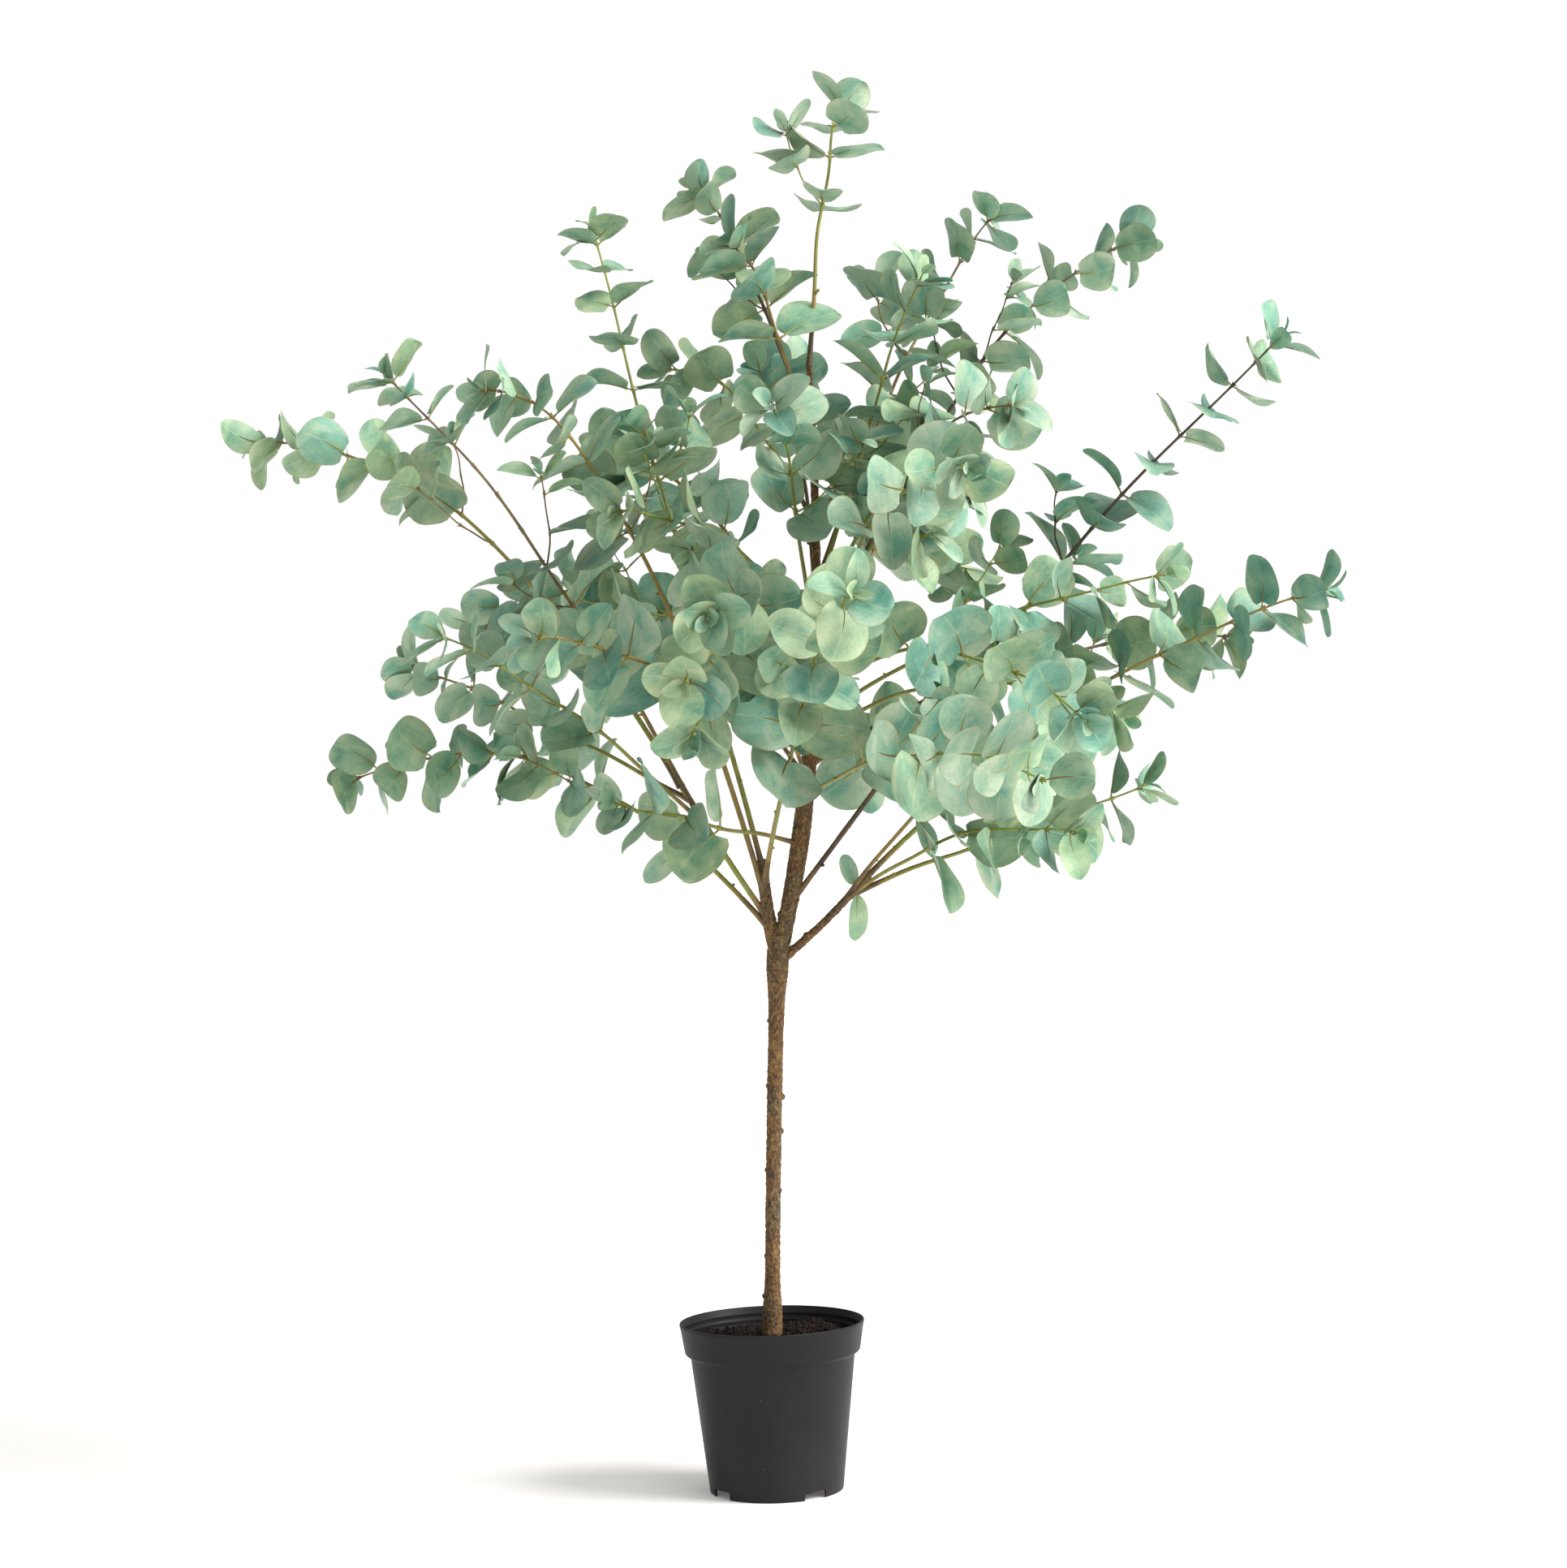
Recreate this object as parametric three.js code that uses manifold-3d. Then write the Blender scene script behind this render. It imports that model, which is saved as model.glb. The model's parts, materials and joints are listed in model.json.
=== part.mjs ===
// An artificial eucalyptus tree of the silver dollar kind in its nursery pot, about 1.5 m tall.
// Millimetres, +Z up. The origin is the middle of the pot's flat underside, +X is the tree's right
// and +Y its back. Every spray of leaves grows by one seeded rule from the table below.
import * as THREE from 'three';
import { mergeVertices } from 'three/addons/utils/BufferGeometryUtils.js';
import Module from 'manifold-3d';

const wasm = await Module();
wasm.setup();

// Space left between neighbouring pieces
const gap = 0.3;

// Nursery pot: a thin moulded shell with a band round its rim and a notched foot ring
const pot = {
  height: 180,
  rimRadius: 99,
  bandHeight: 31,
  bandFootRadius: 94,
  shoulderRadius: 88,
  shoulderDrop: 5,
  baseRadius: 71.5,
  wall: 2,
  lip: 0.8,
  floorHeight: 9,
  padRadius: 45,
  padSlope: 7,
  sides: 32,
};
const notch = { count: 4, firstAngle: 35.5, width: 27, height: 8.5, depth: 10 };

// Soil: a mound that fills the pot, level at the trunk's foot
const soil = {
  edgeHeight: 158,
  seatHeight: 163,
  seatRadius: 16,
  lump: 1.6,
  rings: 4,
  sides: 16,
  seed: 5,
};

// Trunk and limbs: each follows a curve from its root past a guide point to its end.
// Radii go from root to end at equal steps. The left bough carries four sprays as a limb does, but
// is made like the other boughs.
const limbs = {
  trunk: {
    path: [[0, 0, soil.seatHeight - 2], [7, 0, 376], [20, 0, 592]],
    radii: [13, 10, 8.8, 8.2, 8.2, 8.2, 8.3, 8.2, 8.4, 8.2, 8.5, 10.8, 12, 11],
    sides: 10,
  },
  leader: {
    path: [[21, 0, 578], [84, 0, 800], [72, 0, 1200]],
    radii: [10, 8.8, 9.4, 9.8, 8.8, 7.8, 6.4, 5.6, 5, 4.5, 4, 3.5, 3],
    sides: 8,
  },
  left_limb: {
    path: [[18, 0, 575], [6, 0, 620], [6, 0, 674]],
    radii: [8.5, 8, 7, 6.5, 6, 6],
    sides: 8,
  },
  low_limb: {
    path: [[22, 0, 566], [62, 0, 594], [107, -3, 642]],
    radii: [6, 4.6, 4.1, 4, 4, 3.8],
    sides: 7,
  },
  left_bough: {
    path: [[10, 0, 609], [-26, 0, 664], [-79, 0, 754]],
    radii: [4, 3.2, 3, 3, 2.9, 2.7],
    sides: 6,
    material: 'bough',
  },
};

// One row for each spray: its name, the limb that it leaves and how far up that limb (0 to 1);
// its tip, as degrees round from +X towards +Y, reach out from the pot's axis and height; how far its
// middle rises over a straight line; the share of it that is a bare bough (0 when its own stem
// meets the limb); and its count of side shoots
const sprays = [
  ['lower_left', 'left_limb', 0.24, 164, 470, 770, 95, 0.36, 2],
  ['low_mid_left', 'left_bough', 0.92, 165, 390, 900, 5, 0, 2],
  ['mid_left', 'left_bough', 0.73, 198, 340, 920, 20, 0, 2],
  ['far_left', 'left_bough', 1, 165, 565, 1150, 105, 0.4, 3],
  ['upper_left', 'left_bough', 0.86, 192, 380, 1195, 40, 0, 3],
  ['high_left', 'left_limb', 0.53, 206, 295, 1170, 140, 0.45, 2],
  ['top_left', 'left_limb', 0.87, 201, 165, 1345, 5, 0.5, 3],

  ['inner_left', 'leader', 0.77, 126, 140, 1215, 50, 0, 1],
  ['crest_mid', 'leader', 0.85, 267, 60, 1325, 40, 0, 1],
  ['crest_left', 'leader', 0.91, 109, 120, 1415, 20, 0, 2],
  ['leader_top', 'leader', 1, 10, 120, 1480, 55, 0, 2],
  ['back_high', 'leader', 0.67, 80, 250, 1235, 45, 0, 2],
  ['crest_right', 'leader', 0.66, 334, 210, 1280, 10, 0, 2],
  ['crest_far_right', 'leader', 0.68, 27, 320, 1380, 40, 0, 3],

  ['high_right', 'leader', 0.56, 26, 495, 1360, 80, 0.42, 3],
  ['mid_right', 'leader', 0.63, 330, 320, 1135, 55, 0, 3],
  ['front_mid_right', 'leader', 0.57, 301, 425, 1050, 60, 0, 2],
  ['right', 'leader', 0.45, 334, 470, 950, 30, 0, 2],
  ['far_right_high', 'leader', 0.1, 351, 570, 1205, 25, 0.48, 3],
  ['right_low', 'leader', 0.38, 19, 575, 905, 40, 0.48, 2],
  ['far_right', 'low_limb', 0.98, 356, 615, 940, 50, 0.45, 2],
  ['lower_right', 'low_limb', 0.9, 9, 435, 740, 5, 0.35, 2],
  ['mid_low_right', 'leader', 0.43, 344, 400, 815, 45, 0, 2],
  ['low_right', 'low_limb', 0.83, 330, 365, 790, 40, 0, 2],
  ['low_front_right', 'low_limb', 0.74, 326, 390, 695, 35, 0, 1],

  ['front_left', 'leader', 0.44, 265, 400, 915, 60, 0, 2],
  ['front_right', 'left_limb', 0.74, 282, 470, 930, 45, 0.3, 2],
  ['front_far_left', 'leader', 0.32, 239, 400, 900, 45, 0, 2],
  ['front_low', 'leader', 0.35, 261, 390, 850, 80, 0, 1],
  ['front_low_right', 'leader', 0.32, 294, 645, 750, 35, 0, 2],
  ['front_right_rosette', 'leader', 0.51, 308, 515, 805, 55, 0, 2],
  ['front_high', 'leader', 0.6, 324, 280, 1055, 40, 0, 2],
  ['front_mid', 'leader', 0.48, 258, 300, 800, 65, 0, 1],
  ['front_upper_mid', 'leader', 0.57, 281, 170, 1140, 45, 0, 2],
  ['front_upper_left', 'leader', 0.62, 231, 210, 1035, 35, 0, 2],
  ['low_front_left', 'leader', 0.23, 226, 210, 740, 0, 0, 1],

  ['back_left', 'leader', 0.43, 134, 485, 950, 90, 0, 3],
  ['back_low_left', 'leader', 0.35, 125, 480, 905, 100, 0, 2],
  ['back_upper_left', 'leader', 0.56, 125, 290, 1145, 50, 0, 2],
  ['back_middle', 'leader', 0.48, 91, 580, 895, 60, 0, 3],
  ['back_low_right', 'leader', 0.37, 64, 510, 760, 50, 0, 2],
  ['back_right', 'leader', 0.49, 52, 405, 990, 115, 0, 3],
  ['back_upper_right', 'leader', 0.76, 53, 370, 1110, 70, 0, 2],
];
const bough = { rootRadius: 3, endRadius: 2.1, sides: 5, steps: 5 };
const stem = { rootRadius: 2.4, endRadius: 1.5, bareShare: 0.36, seed: 1000, seedStep: 37 };

// The growing rule: leaves in opposite pairs along a stem, each pair a quarter turn from the last.
// Shares are of the stem's length, angles are in degrees, and the droop is a share of the leaf.
const rule = {
  pairSpacing: 72,
  firstPair: 0.4,
  closingPair: 0.97,
  closingSplay: 0.6,
  wander: 14,
  splay: 64,
  splaySpread: 10,
  roll: 24,
  droop: 0.22,
  leafAtRoot: 74,
  leafAtTip: 60,
  leafSpread: 0.1,
};

// Side shoots: short twigs that leave a stem at a pair of leaves, carry pairs of their own and
// are shorter towards the stem's tip
const shoot = {
  radius: 1.4,
  bareShare: 0.3,
  angle: 46,
  lift: 0.12,
  length: 95,
  shortest: 0.7,
  longest: 1.1,
  shorterAtTip: 0.5,
  pairSpacing: 60,
  bendOut: 0.4,
  bendAlong: 0.2,
};

// A leaf as shares of its length, but for its thickness and how far off the twig's axis it starts
const leaf = { width: 0.84, belly: 0.12, heel: 0.12, thickness: 1.3, start: 0.6 };

// Leaves and shoots keep this far from the limbs, from other sprays' bare stems, and from the
// middle line between two sprays
const clearance = { limb: 14.4, bareStem: 9, room: 4 };

const materials = {
  pot: new THREE.MeshStandardMaterial({ color: 0x353334, roughness: 0.55 }),
  soil: new THREE.MeshStandardMaterial({ color: 0x2b2324, roughness: 1 }),
  bark: new THREE.MeshStandardMaterial({ color: 0x6b5138, roughness: 0.85 }),
  bough: new THREE.MeshStandardMaterial({ color: 0x7d7b3a, roughness: 0.6 }),
  leaf: new THREE.MeshStandardMaterial({ color: 0x7fa893, roughness: 0.7 }),
};

const up = new THREE.Vector3(0, 0, 1);
const radians = THREE.MathUtils.degToRad;
const lerp = THREE.MathUtils.lerp;
const point = (xyz) => new THREE.Vector3(...xyz);

// Seeded numbers, the same in every build
class Dice {
  constructor(seed) {
    this.state = seed;
    this.between(0, 1);
  }

  between(low, high) {
    this.state = (this.state * 1664525 + 1013904223) % 4294967296;
    return low + ((high - low) * this.state) / 4294967296;
  }
}

// A geometry as a solid that can be joined and cut
function toSolid(geometry) {
  const bare = geometry.clone();
  bare.deleteAttribute('normal');
  bare.deleteAttribute('uv');
  const merged = mergeVertices(bare, 1e-3);
  const corners = [];
  for (let i = 0; i < merged.index.count; i += 3) {
    const [a, b, c] = [0, 1, 2].map((k) => merged.index.getX(i + k));
    if (a !== b && b !== c && c !== a) corners.push(a, b, c);
  }
  return new wasm.Manifold(
    new wasm.Mesh({
      numProp: 3,
      vertProperties: merged.attributes.position.array,
      triVerts: new Uint32Array(corners),
    }),
  );
}

// The largest closed body of a solid: sealed hollows are filled and loose scraps dropped
function mainBody(solid) {
  return solid.decompose().reduce((a, b) => (a.volume() > b.volume() ? a : b));
}

function toMesh(solid, name, material) {
  const { vertProperties, triVerts } = solid.getMesh();
  const geometry = new THREE.BufferGeometry();
  geometry.setAttribute('position', new THREE.BufferAttribute(vertProperties, 3));
  geometry.setIndex(new THREE.BufferAttribute(triVerts, 1));
  geometry.computeVertexNormals();
  const mesh = new THREE.Mesh(geometry, material);
  mesh.name = name;
  return mesh;
}

// Marks at equal steps along a curve, from one of its parameters to another
function evenMarks(from, to, steps) {
  return Array.from({ length: steps + 1 }, (_, i) => lerp(from, to, i / steps));
}

// A cylinder bent along a curve, with a ring at every mark and a radius from root to end
function bentCylinder(curve, marks, radiusAt, sides) {
  const steps = marks.length - 1;
  const geometry = new THREE.CylinderGeometry(1, 1, 1, sides, steps);
  const across = squareTo(curve.getTangent(marks[0]))[0];
  const rings = marks.map((mark, i) => {
    const tangent = curve.getTangent(mark);
    across.addScaledVector(tangent, -across.dot(tangent)).normalize();
    const other = new THREE.Vector3().crossVectors(across, tangent);
    return { place: curve.getPoint(mark), across: across.clone(), other, radius: radiusAt(i / steps) };
  });
  const position = geometry.attributes.position;
  for (let i = 0; i < position.count; i += 1) {
    const ring = rings[Math.round((position.getY(i) + 0.5) * steps)];
    const place = ring.place.clone();
    place.addScaledVector(ring.across, position.getX(i) * ring.radius);
    place.addScaledVector(ring.other, position.getZ(i) * ring.radius);
    position.setXYZ(i, place.x, place.y, place.z);
  }
  return geometry;
}

// Radius at a share of the way through a list of radii at equal steps
function radiusAlong(radii, share) {
  const place = share * (radii.length - 1);
  const before = Math.min(Math.floor(place), radii.length - 2);
  return lerp(radii[before], radii[before + 1], place - before);
}

const bandFoot = pot.height - pot.bandHeight;
const shoulder = bandFoot - pot.shoulderDrop;
const padEnd = pot.padRadius + pot.padSlope;
const wallRadius = (height) => lerp(pot.baseRadius, pot.shoulderRadius, height / shoulder);
const bandRadius = (height) =>
  lerp(pot.bandFootRadius, pot.rimRadius, (height - bandFoot) / pot.bandHeight);

// The pot's inside from the middle of its floor up to its band, a thickness in from the outside
function inside(thickness) {
  const floor = pot.floorHeight + thickness;
  return [
    [0, thickness],
    [pot.padRadius - thickness / 2, thickness],
    [padEnd - thickness / 2, floor],
    [wallRadius(floor) - thickness, floor],
    [pot.shoulderRadius - thickness, shoulder + thickness / 2],
    [pot.bandFootRadius - thickness, bandFoot + thickness / 2],
  ];
}

function turned(outline, sides) {
  const profile = outline.map(([radius, height]) => new THREE.Vector2(radius, height));
  return new THREE.LatheGeometry(profile, sides).rotateX(Math.PI / 2);
}

function buildPot() {
  const outline = [
    [0, 0],
    [pot.padRadius, 0],
    [padEnd, pot.floorHeight],
    [pot.baseRadius - pot.wall, pot.floorHeight],
    [pot.baseRadius - pot.wall, 0],
    [pot.baseRadius - pot.lip, 0],
    [pot.baseRadius, pot.lip],
    [pot.shoulderRadius, shoulder],
    [pot.bandFootRadius - pot.lip, bandFoot - pot.lip],
    [pot.bandFootRadius, bandFoot],
    [pot.rimRadius, pot.height - pot.lip],
    [pot.rimRadius - pot.lip, pot.height],
    [pot.rimRadius - pot.wall, pot.height],
    ...inside(pot.wall).reverse(),
  ];
  let solid = toSolid(turned(outline, pot.sides));
  for (let i = 0; i < notch.count; i += 1) {
    const cutter = new THREE.BoxGeometry(notch.depth, notch.width, notch.height * 2);
    cutter.translate(pot.baseRadius, 0, 0);
    cutter.rotateZ(radians(notch.firstAngle + (360 / notch.count) * i));
    solid = solid.subtract(toSolid(cutter));
  }
  return toMesh(mainBody(solid), 'pot', materials.pot);
}

// The soil fills the pot a gap in from its wall, and rises in small lumps to a level seat
function buildSoil() {
  const edgeRadius = bandRadius(soil.edgeHeight) - pot.wall - gap;
  const mound = evenMarks(0, 1, soil.rings).map((share) => [
    lerp(edgeRadius, soil.seatRadius, share),
    lerp(soil.edgeHeight, soil.seatHeight, Math.sqrt(share)),
  ]);
  const fill = turned([...inside(pot.wall + gap), ...mound, [0, soil.seatHeight]], soil.sides);
  fill.deleteAttribute('normal');
  fill.deleteAttribute('uv');
  const lumpy = mergeVertices(fill, 1e-3);
  const dice = new Dice(soil.seed);
  const position = lumpy.attributes.position;
  for (let i = 0; i < position.count; i += 1) {
    const radius = Math.hypot(position.getX(i), position.getY(i));
    const onMound = radius > soil.seatRadius + 1 && radius < edgeRadius - 1;
    if (position.getZ(i) < soil.edgeHeight || !onMound) continue;
    position.setZ(i, position.getZ(i) + dice.between(-soil.lump, soil.lump));
  }
  return toMesh(toSolid(lumpy), 'soil', materials.soil);
}

// Trunk and limbs, each cut clear of the ones before it
const limbCurves = {};
const standing = [];
for (const [name, { path }] of Object.entries(limbs)) {
  limbCurves[name] = new THREE.QuadraticBezierCurve3(...path.map(point));
}

// A solid along a curve, cut flat above the soil and clear of every piece that already stands
function standClear(curve, marks, radiusAt, sides) {
  let solid = toSolid(bentCylinder(curve, marks, radiusAt, sides));
  solid = solid.trimByPlane([0, 0, 1], soil.seatHeight + gap);
  for (const other of standing) solid = solid.subtract(other);
  const around = bentCylinder(curve, marks, (share) => radiusAt(share) + gap * 1.5, sides);
  standing.push(toSolid(around));
  return mainBody(solid);
}

function buildLimb(name) {
  const { radii, sides, material = 'bark' } = limbs[name];
  const marks = evenMarks(0, 1, radii.length - 1);
  const radiusAt = (share) => radiusAlong(radii, share);
  return toMesh(standClear(limbCurves[name], marks, radiusAt, sides), name, materials[material]);
}

// A spray's whole path, from the axis of its limb to its tip
function sprayPath([, limb, at, azimuth, reach, height, rise]) {
  const root = limbCurves[limb].getPoint(at);
  const turn = radians(azimuth);
  const tip = new THREE.Vector3(Math.cos(turn) * reach, Math.sin(turn) * reach, height);
  const guide = root.clone().add(tip).multiplyScalar(0.5).addScaledVector(up, 2 * rise);
  return new THREE.QuadraticBezierCurve3(root, guide, tip);
}

const grown = sprays.map((row, index) => {
  const [name, , , , , , , boughShare, shoots] = row;
  const path = sprayPath(row);
  const bareShare = boughShare || stem.bareShare;
  return { name, path, boughShare, bareShare, shoots, index };
});

// Short straight pieces of a curve, for measuring how near a point is
function chords(path, from, to, count) {
  const marks = Array.from({ length: count + 1 }, (_, i) => path.getPoint(lerp(from, to, i / count)));
  return marks.slice(1).map((end, i) => new THREE.Line3(marks[i], end));
}

const near = new THREE.Vector3();
function distanceTo(lines, place) {
  return Math.min(
    ...lines.map((line) => line.closestPointToPoint(place, true, near).distanceTo(place)),
  );
}

const leafyLines = grown.map(({ path, bareShare }) => chords(path, bareShare, 1, 8));
const bareLines = grown.map(({ path, bareShare }) => chords(path, 0, bareShare, 5));
const limbLines = Object.values(limbCurves).map((curve) => chords(curve, 0, 1, 8));

// Whether a place belongs to a spray: clear of the limbs, and nearer to it than to any other spray
function hasRoom({ index, boughShare }, place) {
  if (limbLines.some((lines) => distanceTo(lines, place) < clearance.limb)) return false;
  const foreign = (i) => i !== index || boughShare > 0;
  if (bareLines.some((lines, i) => foreign(i) && distanceTo(lines, place) < clearance.bareStem)) {
    return false;
  }
  const own = distanceTo(leafyLines[index], place) + clearance.room;
  return leafyLines.every((lines, i) => i === index || distanceTo(lines, place) > own);
}

// Two directions square to a tangent, the first of them level
function squareTo(tangent) {
  const reference = Math.abs(tangent.z) > 0.95 ? new THREE.Vector3(1, 0, 0) : up;
  const level = new THREE.Vector3().crossVectors(tangent, reference).normalize();
  const raised = new THREE.Vector3().crossVectors(level, tangent).normalize();
  return [level, raised];
}

function sideways(tangent, degrees) {
  const [level, raised] = squareTo(tangent);
  const turn = radians(degrees);
  return level.multiplyScalar(Math.cos(turn)).addScaledVector(raised, Math.sin(turn));
}

// One leaf: where it leaves its twig, the way it points, the way its upper face looks, its length
function placeLeaf(dice, root, tangent, side, size, splay) {
  const angle = radians(splay + dice.between(-rule.splaySpread, rule.splaySpread));
  const length = size * dice.between(1 - rule.leafSpread, 1 + rule.leafSpread);
  const sink = rule.droop * dice.between(0, 1);
  const roll = radians(dice.between(-rule.roll, rule.roll));
  const along = tangent.clone().multiplyScalar(Math.cos(angle));
  along.addScaledVector(side, Math.sin(angle)).addScaledVector(up, -sink).normalize();
  const face = tangent.clone().addScaledVector(along, -tangent.dot(along)).normalize();
  face.applyAxisAngle(along, roll);
  return { root, along, face, length };
}

// A leaf's outline: its heel just clear of the twig, one side, its tip and the other side
function leafCorners({ root, along, face, length }) {
  const across = new THREE.Vector3().crossVectors(face, along);
  const corner = ([share, side]) =>
    root.clone().addScaledVector(along, share * length).addScaledVector(across, side * length);
  const widest = 0.5 - leaf.belly;
  return [[leaf.heel, 0], [widest, -leaf.width / 2], [1, 0], [widest, leaf.width / 2]].map(corner);
}

const ray = new THREE.Ray();
const struck = new THREE.Vector3();
// Whether an edge of one outline passes through the other
function pierces([a, b, c, d], [heel, left, tip, right]) {
  return [[a, b], [b, c], [c, d], [d, a], [a, c]].some(([from, to]) => {
    ray.set(from, to.clone().sub(from).normalize());
    const hits = [
      ray.intersectTriangle(heel, left, tip, false, struck.clone()),
      ray.intersectTriangle(heel, tip, right, false, struck.clone()),
    ];
    return hits.some((hit) => hit && hit.distanceTo(from) < to.distanceTo(from));
  });
}

function touches(one, other) {
  if (one.root.distanceTo(other.root) > one.length + other.length) return false;
  const [mine, theirs] = [leafCorners(one), leafCorners(other)];
  return pierces(mine, theirs) || pierces(theirs, mine);
}

// Where the pairs of leaves are along a path, the last of them close to its tip
function pairMarks(from, count) {
  const marks = Array.from({ length: count }, (_, i) => lerp(from, 1, (i + rule.firstPair) / count));
  return [...marks, rule.closingPair];
}

// Leaves in opposite pairs along a path
function growPairs(dice, path, marks, sizes, onPair) {
  const leaves = [];
  const count = marks.length - 1;
  let twist = dice.between(0, 180);
  for (const [i, share] of marks.entries()) {
    const closing = i === count;
    const tangent = path.getTangent(share);
    const place = path.getPoint(share);
    const side = sideways(tangent, twist);
    const size = lerp(sizes[0], sizes[1], i / count);
    const splay = closing ? rule.splay * rule.closingSplay : rule.splay;
    for (const turn of [1, -1]) {
      const out = side.clone().multiplyScalar(turn);
      leaves.push(placeLeaf(dice, place, tangent, out, size, splay));
    }
    if (onPair) onPair(i, place, tangent, twist);
    twist += 90 + dice.between(-rule.wander, rule.wander);
  }
  return leaves;
}

// The side shoot that leaves a stem at a pair of leaves
function placeShoot(dice, place, tangent, twist, share, turn) {
  const out = sideways(tangent, twist + 90 + turn);
  const grow = shoot.length * dice.between(shoot.shortest, shoot.longest);
  const length = grow * (1 - shoot.shorterAtTip * share);
  const angle = radians(shoot.angle);
  const way = tangent.clone().multiplyScalar(Math.cos(angle));
  way.addScaledVector(out, Math.sin(angle)).addScaledVector(up, shoot.lift).normalize();
  const tip = place.clone().addScaledVector(way, length);
  const guide = place.clone().addScaledVector(out, length * shoot.bendOut);
  guide.addScaledVector(tangent, length * shoot.bendAlong);
  const path = new THREE.QuadraticBezierCurve3(place, guide, tip);
  const pairs = Math.max(1, Math.round(length / shoot.pairSpacing) - 1);
  return { path, marks: pairMarks(shoot.bareShare, pairs) };
}

// A whole spray by the rule. A leaf that lacks room or would touch an earlier one is left out,
// and so is a shoot that would carry fewer than two leaves.
function growSpray(spray) {
  const dice = new Dice(stem.seed + stem.seedStep * spray.index);
  const leafyLength = spray.path.getLength() * (1 - spray.bareShare);
  const count = Math.round(leafyLength / rule.pairSpacing);
  const marks = pairMarks(spray.bareShare, count);
  const sizes = [rule.leafAtRoot, rule.leafAtTip];
  const fitting = [];
  const fit = (leaves) => {
    const before = fitting.length;
    for (const one of leaves) {
      const inRoom = leafCorners(one).every((place) => hasRoom(spray, place));
      if (inRoom && !fitting.some((other) => touches(one, other))) fitting.push(one);
    }
    return fitting.length - before;
  };
  const started = [];
  const startShoot = (i, place, tangent, twist) => {
    if (i >= spray.shoots) return;
    started.push(placeShoot(dice, place, tangent, twist, i / count, (i % 2) * 180));
  };
  fit(growPairs(dice, spray.path, marks, sizes, startShoot));
  const shoots = started.filter((twig) => {
    const leaves = growPairs(dice, twig.path, twig.marks, sizes);
    const clear = [0.5, 0.75, 1].every((share) => hasRoom(spray, twig.path.getPoint(share)));
    const before = fitting.length;
    if (clear && fit(leaves) > 1) return true;
    fitting.length = before;
    return false;
  });
  return { marks, shoots, leaves: fitting };
}

// An eight-sided leaf, fullest a little behind its middle, its root sunk through the twig
function leafGeometry({ root, along, face, length }) {
  const half = length / 2;
  const blade = new THREE.OctahedronGeometry(1);
  blade.scale(half, half * leaf.width, leaf.thickness / 2);
  const position = blade.attributes.position;
  for (let i = 0; i < position.count; i += 1) {
    if (Math.abs(position.getX(i)) < 1) position.setX(i, -leaf.belly * length);
  }
  blade.translate(half + leaf.start, 0, 0);
  const across = new THREE.Vector3().crossVectors(face, along);
  const turn = new THREE.Matrix4().makeBasis(along, across, face).setPosition(root);
  return blade.applyMatrix4(turn);
}

function buildBough(spray) {
  const marks = evenMarks(0, spray.boughShare, bough.steps);
  const radiusAt = (share) => lerp(bough.rootRadius, bough.endRadius, share);
  const solid = standClear(spray.path, marks, radiusAt, bough.sides);
  return toMesh(solid, 'bough_' + spray.name, materials.bough);
}

function buildSpray(spray) {
  const { marks, shoots, leaves } = growSpray(spray);
  const beyondBough = spray.boughShare + gap / spray.path.getLength();
  const start = spray.boughShare ? [beyondBough] : [0, spray.bareShare / 2];
  const radiusAt = (share) => lerp(stem.rootRadius, stem.endRadius, share);
  let solid = toSolid(bentCylinder(spray.path, [...start, ...marks, 1], radiusAt, 3));
  for (const twig of shoots) {
    const twigMarks = [0, ...twig.marks, 1];
    solid = solid.add(toSolid(bentCylinder(twig.path, twigMarks, () => shoot.radius, 3)));
  }
  for (const one of leaves) solid = solid.add(toSolid(leafGeometry(one)));
  for (const other of standing) solid = solid.subtract(other);
  return toMesh(mainBody(solid), 'spray_' + spray.name, materials.leaf);
}

const tree = new THREE.Group();
tree.name = 'potted_eucalyptus';
tree.add(buildPot(), buildSoil());
for (const name of Object.keys(limbs)) tree.add(buildLimb(name));
for (const spray of grown.filter(({ boughShare }) => boughShare > 0)) tree.add(buildBough(spray));
for (const spray of grown) tree.add(buildSpray(spray));

export default tree;
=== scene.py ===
# An artificial silver dollar eucalyptus in its black nursery pot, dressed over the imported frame.
# Metres, +Z up. The camera stands in front of the tree and looks along +Y.
import json
import math
import bmesh
import bpy
import numpy as np
from mathutils import Matrix, Vector

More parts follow.
